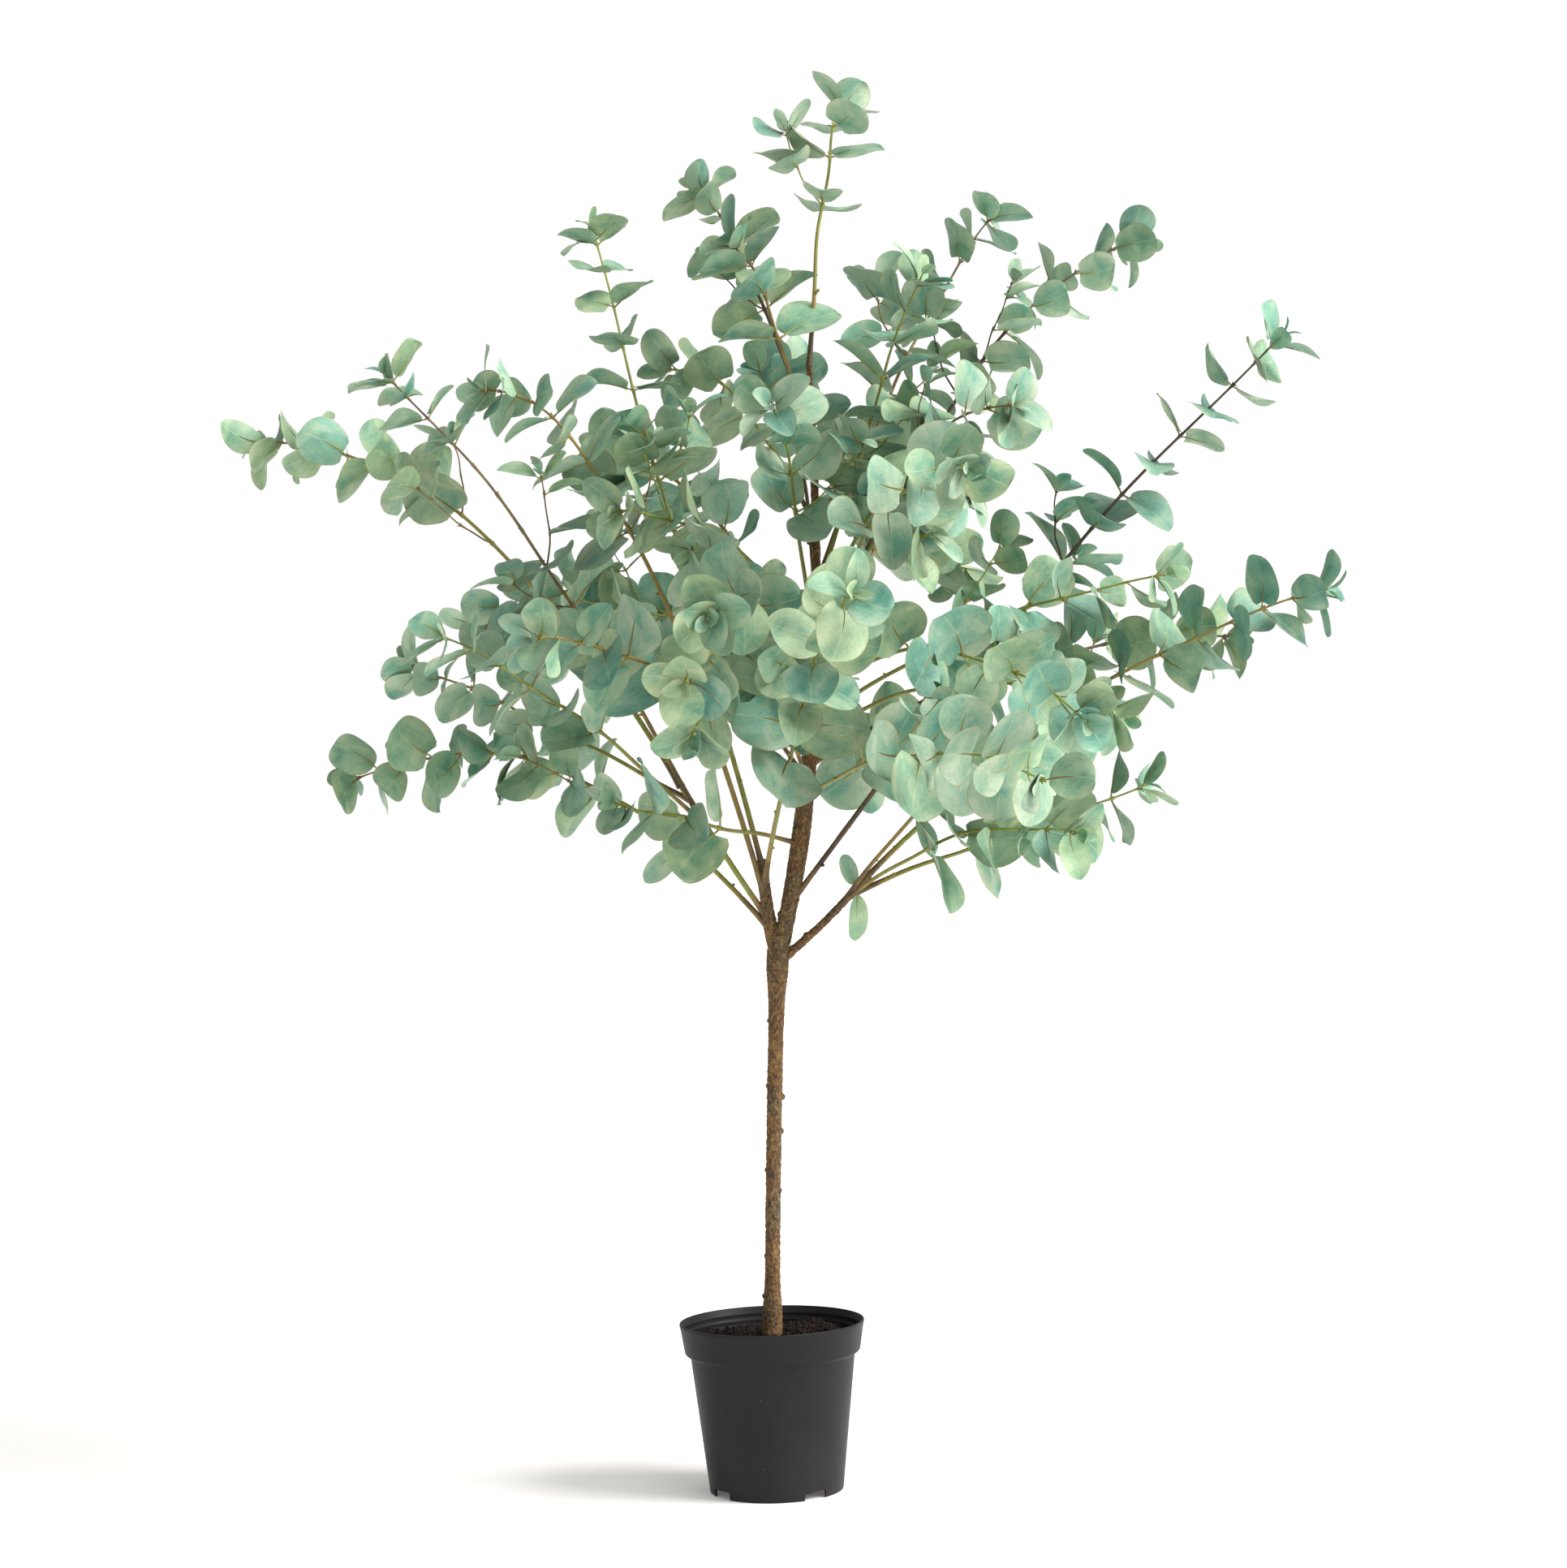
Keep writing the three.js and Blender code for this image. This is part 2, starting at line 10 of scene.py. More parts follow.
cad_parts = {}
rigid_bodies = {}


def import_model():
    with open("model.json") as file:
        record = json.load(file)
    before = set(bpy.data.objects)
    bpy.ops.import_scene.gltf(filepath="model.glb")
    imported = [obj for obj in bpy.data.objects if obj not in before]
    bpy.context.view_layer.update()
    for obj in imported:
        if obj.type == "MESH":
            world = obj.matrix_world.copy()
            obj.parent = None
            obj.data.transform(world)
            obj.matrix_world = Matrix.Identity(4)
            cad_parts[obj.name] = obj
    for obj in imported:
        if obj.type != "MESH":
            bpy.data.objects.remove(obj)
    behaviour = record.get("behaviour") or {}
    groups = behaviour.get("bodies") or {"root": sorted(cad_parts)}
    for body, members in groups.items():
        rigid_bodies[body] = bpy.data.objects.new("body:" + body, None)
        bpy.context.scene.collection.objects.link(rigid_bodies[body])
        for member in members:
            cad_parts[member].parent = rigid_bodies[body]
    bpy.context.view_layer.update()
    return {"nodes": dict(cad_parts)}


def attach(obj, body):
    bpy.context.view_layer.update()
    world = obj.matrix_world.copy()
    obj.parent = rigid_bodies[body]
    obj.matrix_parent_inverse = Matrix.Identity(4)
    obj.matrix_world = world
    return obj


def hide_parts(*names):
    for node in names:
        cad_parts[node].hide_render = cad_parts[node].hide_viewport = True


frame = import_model()
mm = 0.001
print("frame loaded:", len(frame["nodes"]), "nodes")


# Shared helpers

def linear(hexColour):
    # sRGB hex to the linear colour that shaders take
    parts = [int(hexColour[i:i + 2], 16) / 255 for i in (1, 3, 5)]
    return [c / 12.92 if c <= 0.04045 else ((c + 0.055) / 1.055) ** 2.4 for c in parts] + [1.0]


def addNode(tree, kind, inputs=None, **settings):
    # a node with its settings; an input is a value, a socket, or a node that gives its first output
    node = tree.nodes.new(kind)
    for key, value in settings.items():
        setattr(node, key, value)
    for key, value in (inputs or {}).items():
        if isinstance(value, bpy.types.Node):
            value = value.outputs[0]
        if isinstance(value, bpy.types.NodeSocket):
            tree.links.new(value, node.inputs[key])
        else:
            node.inputs[key].default_value = value
    return node


def newMaterial(name):
    # a material, its tree and the object's own coordinates in it
    material = bpy.data.materials.new(name)
    material.use_nodes = True
    tree = material.node_tree
    tree.nodes.clear()
    return material, tree, addNode(tree, "ShaderNodeTexCoord").outputs["Object"]


def newTree(name, **sockets):
    # a Geometry Nodes tree with its named inputs, each with its kind
    tree = bpy.data.node_groups.new(name, "GeometryNodeTree")
    tree.interface.new_socket("Result", in_out="OUTPUT", socket_type="NodeSocketGeometry")
    for label, kind in sockets.items():
        tree.interface.new_socket(label, in_out="INPUT", socket_type="NodeSocket" + kind)
    return tree, addNode(tree, "NodeGroupInput").outputs


def newMesh(name, points, edges, faces):
    mesh = bpy.data.meshes.new(name)
    mesh.from_pydata(points, edges, faces)
    return mesh


def meshOf(name, builder):
    # what a bmesh has built, as a mesh
    mesh = bpy.data.meshes.new(name)
    builder.to_mesh(mesh)
    builder.free()
    return mesh


def placed(name, data):
    piece = bpy.data.objects.new(name, data)
    bpy.context.scene.collection.objects.link(piece)
    return piece


def baked(piece, modifier):
    # the piece as its modifier makes it, kept as a plain mesh without the modifier
    seen = piece.evaluated_get(bpy.context.evaluated_depsgraph_get())
    mesh = bpy.data.meshes.new_from_object(seen)
    piece.modifiers.remove(modifier)
    piece.data = mesh
    return mesh


def grown(name, host, tree, **values):
    # what a tree makes of a host mesh, as a piece of its own
    piece = placed(name, host)
    modifier = piece.modifiers.new(tree.name, "NODES")
    modifier.node_group = tree
    for item in tree.interface.items_tree:
        if item.item_type == "SOCKET" and item.in_out == "INPUT" and item.name in values:
            modifier[item.identifier] = values[item.name]
    baked(piece, modifier).name = name
    return piece


def settle(piece, slot, *nodes):
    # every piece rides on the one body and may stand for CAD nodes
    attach(piece, "root")
    if nodes:
        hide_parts(*nodes)
    print("settled", piece.name, len(piece.data.polygons), "faces")


class Dice:
    # seeded numbers, the same in every run
    def __init__(self, seed):
        self.state = seed
        self.between(0, 1)

    def between(self, low, high):
        self.state = (self.state * 1664525 + 1013904223) % 4294967296
        return low + (high - low) * self.state / 4294967296


def unit(vector):
    return vector / np.linalg.norm(vector)


def squareTo(tangent):
    # two directions square to a tangent, the first of them level
    reference = np.array([1.0, 0, 0]) if abs(tangent[2]) > 0.95 else np.array([0, 0, 1.0])
    level = unit(np.cross(tangent, reference))
    return level, unit(np.cross(level, tangent))


def leaning(first, second, degrees):
    # a direction turned from one towards another that is square to it
    turn = math.radians(degrees)
    return first * math.cos(turn) + second * math.sin(turn)


def sideways(tangent, degrees):
    return leaning(*squareTo(tangent), degrees)


def turnedAbout(vector, axis, degrees):
    turn = math.radians(degrees)
    return (vector * math.cos(turn) + np.cross(axis, vector) * math.sin(turn)
            + axis * np.dot(axis, vector) * (1 - math.cos(turn)))


class Path:
    # a curve from a root past a guide point to a tip, with a slight sway that fades in
    def __init__(self, root, guide, tip, sway=0.0, phase=0.0):
        self.root, self.guide, self.tip = (np.array(p, float) for p in (root, guide, tip))
        self.sway, self.phase = sway, phase
        self.level, self.raised = squareTo(unit(self.tip - self.root))
        ends = [self.point(i / 24) for i in range(25)]
        self.length = sum(np.linalg.norm(b - a) for a, b in zip(ends, ends[1:]))

    def point(self, t):
        place = (1 - t) ** 2 * self.root + 2 * t * (1 - t) * self.guide + t ** 2 * self.tip
        fade = self.sway * min(1, 3 * t)
        side = math.sin(9.5 * t + self.phase) * self.level
        rise = math.sin(13.5 * t + 2 * self.phase) * self.raised
        return place + fade * (side + rise)

    def tangent(self, t):
        return unit(self.point(min(1, t + 0.01)) - self.point(max(0, t - 0.01)))


# Where the camera stands (metres, degrees and mm of lens)
view = {
    "distance": 3.4, "centreX": 0.0306, "height": 0.7537, "lens": 72.9, "sensor": 36, "roll": 1.8,
}

# The tree's frame, as the part's source has it: limbs, then the sprays that leave them (mm)

limbTable = {
    "trunk": {
        "path": [(0, 0, 158), (7, 0, 376), (20, 0, 592)],
        "radii": [10.9, 10.4, 8.1, 7.8, 8, 7.8, 8.1, 7.8, 8.2, 8, 8.1, 9, 12, 11],
    },
    "leader": {
        "path": [(21, 0, 578), (84, 0, 800), (72, 0, 1200)],
        "radii": [10, 8.8, 9.4, 9.8, 8.8, 7.8, 6.4, 5.6, 5, 4.5, 4, 3.5, 3],
    },
    "left_limb": {
        "path": [(18, 0, 575), (6, 0, 620), (6, 0, 674)],
        "radii": [8.5, 8, 7, 6.5, 6, 6],
    },
    "low_limb": {
        "path": [(22, 0, 566), (62, 0, 594), (107, -3, 642)],
        "radii": [6, 4.6, 4.1, 4, 4, 3.8],
    },
    "left_bough": {
        "path": [(10, 0, 609), (-26, 0, 664), (-79, 0, 754)],
        "radii": [4, 3.2, 3, 3, 2.9, 2.7],
    },
}

# name, limb, how far up it, azimuth, reach and height of the tip, rise of the middle, share that
# is a bare bough, side shoots
sprayTable = [
    ("lower_left", "left_limb", 0.24, 164, 470, 770, 95, 0.36, 2),
    ("low_mid_left", "left_bough", 0.92, 165, 390, 900, 5, 0, 2),
    ("mid_left", "left_bough", 0.73, 198, 340, 920, 20, 0, 2),
    ("far_left", "left_bough", 1, 165, 565, 1150, 105, 0.4, 3),
    ("upper_left", "left_bough", 0.86, 192, 380, 1195, 40, 0, 3),
    ("high_left", "left_limb", 0.53, 206, 295, 1170, 140, 0.45, 2),
    ("top_left", "left_limb", 0.87, 201, 165, 1345, 5, 0.5, 3),
    ("inner_left", "leader", 0.77, 126, 140, 1215, 50, 0, 1),
    ("crest_mid", "leader", 0.85, 267, 60, 1325, 40, 0, 1),
    ("crest_left", "leader", 0.91, 109, 120, 1415, 20, 0, 2),
    ("leader_top", "leader", 1, 10, 120, 1480, 55, 0, 2),
    ("back_high", "leader", 0.67, 80, 250, 1235, 45, 0, 2),
    ("crest_right", "leader", 0.66, 334, 210, 1280, 10, 0, 2),
    ("crest_far_right", "leader", 0.68, 27, 320, 1380, 40, 0, 3),
    ("high_right", "leader", 0.56, 26, 495, 1360, 80, 0.42, 3),
    ("mid_right", "leader", 0.63, 330, 320, 1135, 55, 0, 3),
    ("front_mid_right", "leader", 0.57, 301, 425, 1050, 60, 0, 2),
    ("right", "leader", 0.45, 334, 470, 950, 30, 0, 2),
    ("far_right_high", "leader", 0.1, 351, 570, 1205, 25, 0.48, 3),
    ("right_low", "leader", 0.38, 19, 575, 905, 40, 0.48, 2),
    ("far_right", "low_limb", 0.98, 356, 615, 940, 50, 0.45, 2),
    ("lower_right", "low_limb", 0.9, 9, 435, 740, 5, 0.35, 2),
    ("mid_low_right", "leader", 0.43, 344, 400, 815, 45, 0, 2),
    ("low_right", "low_limb", 0.83, 330, 365, 790, 40, 0, 2),
    ("low_front_right", "low_limb", 0.74, 326, 390, 695, 35, 0, 1),
    ("front_left", "leader", 0.44, 265, 400, 915, 60, 0, 2),
    ("front_right", "left_limb", 0.74, 282, 470, 930, 45, 0.3, 2),
    ("front_far_left", "leader", 0.32, 239, 400, 900, 45, 0, 2),
    ("front_low", "leader", 0.35, 261, 390, 850, 80, 0, 1),
    ("front_low_right", "leader", 0.32, 294, 645, 750, 35, 0, 2),
    ("front_right_rosette", "leader", 0.51, 308, 515, 805, 55, 0, 2),
    ("front_high", "leader", 0.6, 324, 280, 1055, 40, 0, 2),
    ("front_mid", "leader", 0.48, 258, 300, 800, 65, 0, 1),
    ("front_upper_mid", "leader", 0.57, 281, 170, 1140, 45, 0, 2),
    ("front_upper_left", "leader", 0.62, 231, 210, 1035, 35, 0, 2),
    ("low_front_left", "leader", 0.23, 226, 210, 740, 0, 0, 1),
    ("back_left", "leader", 0.43, 134, 485, 950, 90, 0, 3),
    ("back_low_left", "leader", 0.35, 125, 480, 905, 100, 0, 2),
    ("back_upper_left", "leader", 0.56, 125, 290, 1145, 50, 0, 2),
    ("back_middle", "leader", 0.48, 91, 580, 895, 60, 0, 3),
    ("back_low_right", "leader", 0.37, 64, 510, 760, 50, 0, 2),
    ("back_right", "leader", 0.49, 52, 405, 990, 115, 0, 3),
    ("back_upper_right", "leader", 0.76, 53, 370, 1110, 70, 0, 2),
]

# the growing rule of the source, carried to closer pairs, smaller leaves and finer twigs
rule = {
    "pairSpacing": 39 * mm, "crowding": 1.25, "firstPair": 0.35, "bareShare": 0.36,
    "closingPair": 0.97, "closingSplay": 0.62, "tipPair": 0.998, "tipLeaf": 21 * mm, "tipSplay": 0.4,
    "wander": 16, "splay": 62, "splaySpread": 16, "roll": 30, "droop": 0.3, "youngSpread": (-0.5, 1.5),
    "leafAtRoot": 59 * mm, "leafAtTip": 41 * mm, "leafSpread": 0.15,
    "lowCrown": 0.95, "highCrown": 1.4, "highLeaf": 0.92, "highSpacing": 1.1,
    "sway": 2.2 * mm, "tries": 6, "nudge": 12, "shrink": 0.95,
}
shootRule = {
    "angle": 46, "lift": 0.12, "bendOut": 0.4, "bendAlong": 0.2, "bareShare": 0.3, "extra": -1,
    "length": 105 * mm, "shortest": 0.6, "longest": 1.15, "shorterAtTip": 0.5,
    "pairSpacing": 38 * mm, "leafAtRoot": 51 * mm, "leafAtTip": 42 * mm, "twigRoom": 7 * mm,
    "outerShares": (0.35, 0.6, 0.8, 1),
}
stemRadii = {"root": 2.5 * mm, "tip": 0.9 * mm, "shoot": 1.1 * mm, "shootTip": 0.65 * mm}
boughRadii = {"root": 3.0 * mm, "tip": 2.1 * mm, "collar": 1.7}
chainSpacing = 12 * mm
# the limb that is finished like the boughs, in olive plastic
oliveLimb = "left_bough"

limbPaths = {
    name: Path(*(np.array(p) * mm for p in limb["path"])) for name, limb in limbTable.items()
}


def sprayPath(row, dice):
    limb, at, azimuth, reach, height, rise = row[1:7]
    root = limbPaths[limb].point(at)
    turn = math.radians(azimuth)
    tip = np.array([math.cos(turn) * reach, math.sin(turn) * reach, height]) * mm
    guide = (root + tip) / 2 + np.array([0, 0, 2 * rise * mm])
    return Path(root, guide, tip, rule["sway"], dice.between(0, 6.28))


def piecesOf(path, start, count):
    # a path as straight pieces, each a pair of places
    marks = [path.point(start + (1 - start) * i / count) for i in range(count + 1)]
    return np.array(list(zip(marks, marks[1:])))


def distancesTo(pieces, place):
    # how far a place is from each of many straight pieces
    start, along = pieces[:, 0], pieces[:, 1] - pieces[:, 0]
    share = ((place - start) * along).sum(axis=1) / (along * along).sum(axis=1)
    nearest = start + np.clip(share, 0, 1)[:, None] * along
    return np.linalg.norm(nearest - place, axis=1)


def crossing(pieces, triangles):
    # whether any of many straight pieces passes through any of many triangles
    start, way = pieces[:, None, 0], pieces[:, None, 1] - pieces[:, None, 0]
    corner = triangles[None, :, 0]
    first, second = triangles[None, :, 1] - corner, triangles[None, :, 2] - corner
    across = np.cross(way, second)
    scale = (first * across).sum(axis=2)
    level = np.abs(scale) < 1e-14
    safe = np.where(level, 1, scale)
    off = start - corner
    lift = np.cross(off, first)
    u, v, t = ((a * b).sum(axis=2) / safe for a, b in ((off, across), (way, lift), (second, lift)))
    hit = ~level & (u >= 0) & (v >= 0) & (u + v <= 1) & (t >= 0) & (t <= 1)
    return bool(hit.any())


def near(groups, place, reach):
    # those of many groups of places whose middle is near a place
    return groups[np.linalg.norm(groups.mean(axis=1) - place, axis=1) < reach]


# the leaf shapes: width, place of the widest part (1 is the middle, more is nearer the stalk), lobes
# at the stalk, point at the tip, then cup across, fold at the midrib, curl along, twist, ripple, bend
leafForms = [
    (1.06, 1.1, 0.07, 0.0, 0.14, 0.08, -0.2, 0.14, 0.03, 0.05),
    (1.26, 1.2, 0.14, -0.02, 0.22, 0.0, -0.1, -0.16, 0.05, -0.06),
    (1.12, 1.3, 0.12, 0.02, -0.14, 0.12, -0.26, 0.14, 0.04, 0.06),
    (1.02, 0.85, 0.02, -0.02, 0.26, 0.05, 0.12, -0.18, 0.05, 0.08),
    (0.92, 1.05, 0.05, 0.02, 0.0, 0.34, -0.14, 0.06, 0.03, -0.05),
    (1.0, 1.15, 0.08, 0.0, 0.36, 0.0, 0.12, -0.22, 0.04, 0.06),
    (1.1, 1.0, 0.1, -0.01, -0.26, 0.05, 0.18, 0.18, 0.04, 0.04),
    (0.8, 1.15, 0.04, 0.03, 0.18, 0.1, -0.34, 0.26, 0.03, -0.08),
    (0.66, 0.95, 0.0, 0.02, -0.12, 0.16, -0.14, -0.22, 0.02, 0.06),
    (0.56, 0.85, -0.02, 0.03, 0.1, 0.2, -0.34, 0.14, 0.02, -0.06),
]
# young leaves near a tip are narrow, the rest are round
roundShapes, narrowShapes = (0, 1, 2, 3, 4, 5, 6, 7), (4, 7, 8, 9)
leafStalk = 0.16

# the few leaves that grow below the crown: limb or spray, how far along it, way, length (mm), shape
loneLeaves = [
    ("low_limb", 0.98, (0.12, -0.2, -1), 46, 9), ("low_limb", 0.98, (-0.25, -0.35, 0.9), 34, 8),
    ("lower_left", 0.2, (-0.7, -0.3, -0.8), 48, 9), ("lower_left", 0.2, (0.1, 0.6, 0.8), 40, 7),
    ("low_right", 0.34, (0.35, -0.3, -0.9), 42, 8), ("low_right", 0.34, (-0.1, 0.5, 0.9), 40, 3),
]
loneLeafFacing = (0.75, -1, 0.35)

# where the photo shows sky through the crown: x, height and radius, as seen from the front (mm)
skyGaps = [
    (-350, 1000, 50), (-250, 1045, 40), (-300, 1025, 35), (260, 1280, 32), (-130, 810, 28),
    (-290, 1110, 26), (-45, 1270, 25), (410, 990, 28),
]

# how far leaves keep from limbs and sky gaps, how far off twigs and leaves are still looked at, and
# how finely limbs and twigs are cut up for it
room = {
    "limb": 13 * mm, "twigReach": 70 * mm, "leafReach": 75 * mm, "gapShare": 0.25,
    "limbPieces": 16, "twigPieces": 10, "twigStart": 0.02,
}
# a leaf for the room test: the corners of its outline, as shares of its length and its width
roomCorners = np.array([(0, 0), (0.16, -0.47), (0.62, -0.46), (1, 0), (0.62, 0.46), (0.16, 0.47)])
roomTriangles = [(0, 1, 5), (1, 2, 4), (1, 4, 5), (2, 3, 4)]
roomEdges = [(0, 1), (1, 2), (2, 3), (3, 4), (4, 5), (5, 0), (0, 3)]


class Crown:
    # everything that stands in the crown so far, for keeping leaves clear of it
    def __init__(self):
        self.leaves = []
        self.corners = np.zeros((0, len(roomCorners), 3))
        self.twigs = np.zeros((0, 2, 3))
        self.limbs = np.vstack([piecesOf(path, 0, room["limbPieces"]) for path in limbPaths.values()])

    def addTwig(self, path):
        self.twigs = np.vstack([self.twigs, piecesOf(path, room["twigStart"], room["twigPieces"])])

    def fits(self, leaf):
        corners = cornersOf(leaf)
        centre = corners.mean(axis=0)
        eye = np.array([view["centreX"], view["height"]])
        seen = eye + (centre[[0, 2]] - eye) * view["distance"] / (view["distance"] + centre[1])
        for x, height, radius in skyGaps:
            away = math.hypot(seen[0] - x * mm, seen[1] - height * mm)
            if away < radius * mm + room["gapShare"] * leaf["length"]:
                return False
        if any(distancesTo(self.limbs, corner).min() < room["limb"] for corner in corners):
            return False
        triangles = corners[roomTriangles]
        if crossing(near(self.twigs, centre, room["twigReach"]), triangles):
            return False
        others = near(self.corners, centre, room["leafReach"])
        return not (crossing(corners[roomEdges], others[:, roomTriangles].reshape(-1, 3, 3))
                    or crossing(others[:, roomEdges].reshape(-1, 2, 3), triangles))

    def add(self, leaf):
        self.corners = np.vstack([self.corners, cornersOf(leaf)[None]])
        self.leaves.append(leaf)


def cornersOf(leaf):
    across = np.cross(leaf["face"], leaf["along"])
    base = leaf["root"] + leaf["along"] * leafStalk * leaf["length"]
    width = leafForms[leaf["shape"]][0] * leaf["length"]
    return base + roomCorners[:, :1] * leaf["length"] * leaf["along"] + roomCorners[:, 1:] * width * across


def drawLeaf(dice, size, young):
    # everything that chance decides about one leaf
    shapes = narrowShapes if young else roundShapes
    return {
        "splay": dice.between(-rule["splaySpread"], rule["splaySpread"]),
        "length": size * dice.between(1 - rule["leafSpread"], 1 + rule["leafSpread"]),
        "sink": rule["droop"] * dice.between(0, 1),
        "roll": dice.between(-rule["roll"], rule["roll"]),
        "shape": shapes[int(dice.between(0, len(shapes)))],
    }


def placeLeaf(drawn, root, tangent, side, splay, shrink):
    along = leaning(tangent, side, splay + drawn["splay"]) - np.array([0, 0, drawn["sink"]])
    along = unit(along)
    face = unit(tangent - along * np.dot(tangent, along))
    return {
        "root": root, "along": along, "face": turnedAbout(face, along, drawn["roll"]),
        "length": drawn["length"] * shrink, "shape": drawn["shape"],
    }


def withHeight(place, atTop):
    # 1 low in the crown, going over to another factor at its top
    return np.interp(place[2], [rule["lowCrown"], rule["highCrown"]], [1, atTop])


def pairMarks(start, count):
    # pairs stand closer together towards the tip
    shares = [1 - (1 - (i + rule["firstPair"]) / count) ** rule["crowding"] for i in range(count)]
    return [start + (1 - start) * share for share in shares] + [rule["closingPair"]]


def growPairs(crown, dice, path, marks, sizes, spray):
    # opposite pairs, each a quarter turn from the last; a leaf with no room is turned and made smaller
    twist = dice.between(0, 180)
    for i, share in enumerate(marks + [rule["tipPair"]]):
        tangent, place = path.tangent(share), path.point(share)
        size = sizes[0] + (sizes[1] - sizes[0]) * i / (len(marks) - 1)
        size *= withHeight(place, rule["highLeaf"])
        splay = rule["splay"] * (rule["closingSplay"] if i == len(marks) - 1 else 1)
        if i == len(marks):
            size, splay = rule["tipLeaf"], rule["splay"] * rule["tipSplay"]
        for turn in (0, 180):
            drawn = drawLeaf(dice, size, i + dice.between(*rule["youngSpread"]) > len(marks) - 1)
            for attempt in range(rule["tries"]):
                nudge = rule["nudge"] * attempt * (1 if attempt % 2 else -1)
                side = sideways(tangent, twist + turn + nudge)
                leaf = placeLeaf(drawn, place, tangent, side, splay, rule["shrink"] ** attempt)
                leaf["spray"] = spray
                if crown.fits(leaf):
                    crown.add(leaf)
                    break
        twist += 90 + dice.between(-rule["wander"], rule["wander"])


def placeShoot(dice, place, tangent, twist, share, turn):
    out = sideways(tangent, twist + 90 + turn)
    grow = shootRule["length"] * dice.between(shootRule["shortest"], shootRule["longest"])
    length = grow * (1 - shootRule["shorterAtTip"] * share)
    way = unit(leaning(tangent, out, shootRule["angle"]) + np.array([0, 0, shootRule["lift"]]))
    guide = place + out * length * shootRule["bendOut"] + tangent * length * shootRule["bendAlong"]
    return Path(place, guide, place + way * length, rule["sway"] / 3, dice.between(0, 6.28))


def growTree():
    # first the stems and shoots of every spray, then all the leaves
    crown = Crown()
    sprays = []
    for index, row in enumerate(sprayTable):
        dice = Dice(1000 + 37 * index)
        path = sprayPath(row, dice)
        sprays.append({
            "name": row[0], "path": path, "boughShare": row[7], "dice": dice, "shoots": [],
            "bareShare": row[7] or rule["bareShare"], "shootCount": row[8] + shootRule["extra"],
        })
        crown.addTwig(path)
    for spray in sprays:
        dice, path = spray["dice"], spray["path"]
        leafy = path.length * (1 - spray["bareShare"])
        spacing = rule["pairSpacing"] * withHeight(path.point(1), rule["highSpacing"])
        count = round(leafy / spacing)
        spray["marks"] = pairMarks(spray["bareShare"], count)
        twist = dice.between(0, 180)
        for i in range(min(spray["shootCount"], len(spray["marks"]) - 1)):
            share = spray["marks"][i]
            tangent = path.tangent(share)
            shoot = placeShoot(dice, path.point(share), tangent, twist,
                               i / len(spray["marks"]), (i % 2) * 180)
            twist += 90
            outer = [shoot.point(t) for t in shootRule["outerShares"]]
            if min(distancesTo(crown.twigs, place).min() for place in outer) > shootRule["twigRoom"]:
                count = max(1, round(shoot.length / shootRule["pairSpacing"]) - 1)
                spray["shoots"].append((shoot, pairMarks(shootRule["bareShare"], count)))
                crown.addTwig(shoot)
    sizes = (rule["leafAtRoot"], rule["leafAtTip"])
    shootSizes = (shootRule["leafAtRoot"], shootRule["leafAtTip"])
    for index, spray in enumerate(sprays):
        growPairs(crown, spray["dice"], spray["path"], spray["marks"], sizes, index)
    for index, spray in enumerate(sprays):
        for shoot, marks in spray["shoots"]:
            growPairs(crown, spray["dice"], shoot, marks, shootSizes, index)
    paths = {spray["name"]: spray["path"] for spray in sprays} | limbPaths
    for index, (name, share, way, length, shape) in enumerate(loneLeaves):
        along = unit(np.array(way, float))
        turned = unit(np.cross(along, np.cross(loneLeafFacing, along)))
        crown.add({
            "root": paths[name].point(share), "along": along, "face": turned, "length": length * mm,
            "shape": shape, "spray": index,
        })
    return sprays, crown


sprays, crown = growTree()
print("grown:", len(crown.leaves), "leaves,", sum(len(s["shoots"]) for s in sprays), "shoots")


# Geometry Nodes: a skin wrapped round paths, shapes set out on places, crumbs scattered on the soil

def endTree(tree, geometry, material, smooth=True):
    # every tree ends in one real mesh with its material
    mesh = addNode(tree, "GeometryNodeRealizeInstances", {0: geometry})
    if smooth:
        mesh = addNode(tree, "GeometryNodeSetShadeSmooth", {0: mesh})
    done = addNode(tree, "GeometryNodeSetMaterial", {0: mesh, 2: material})
    addNode(tree, "NodeGroupOutput", {0: done})
    return tree


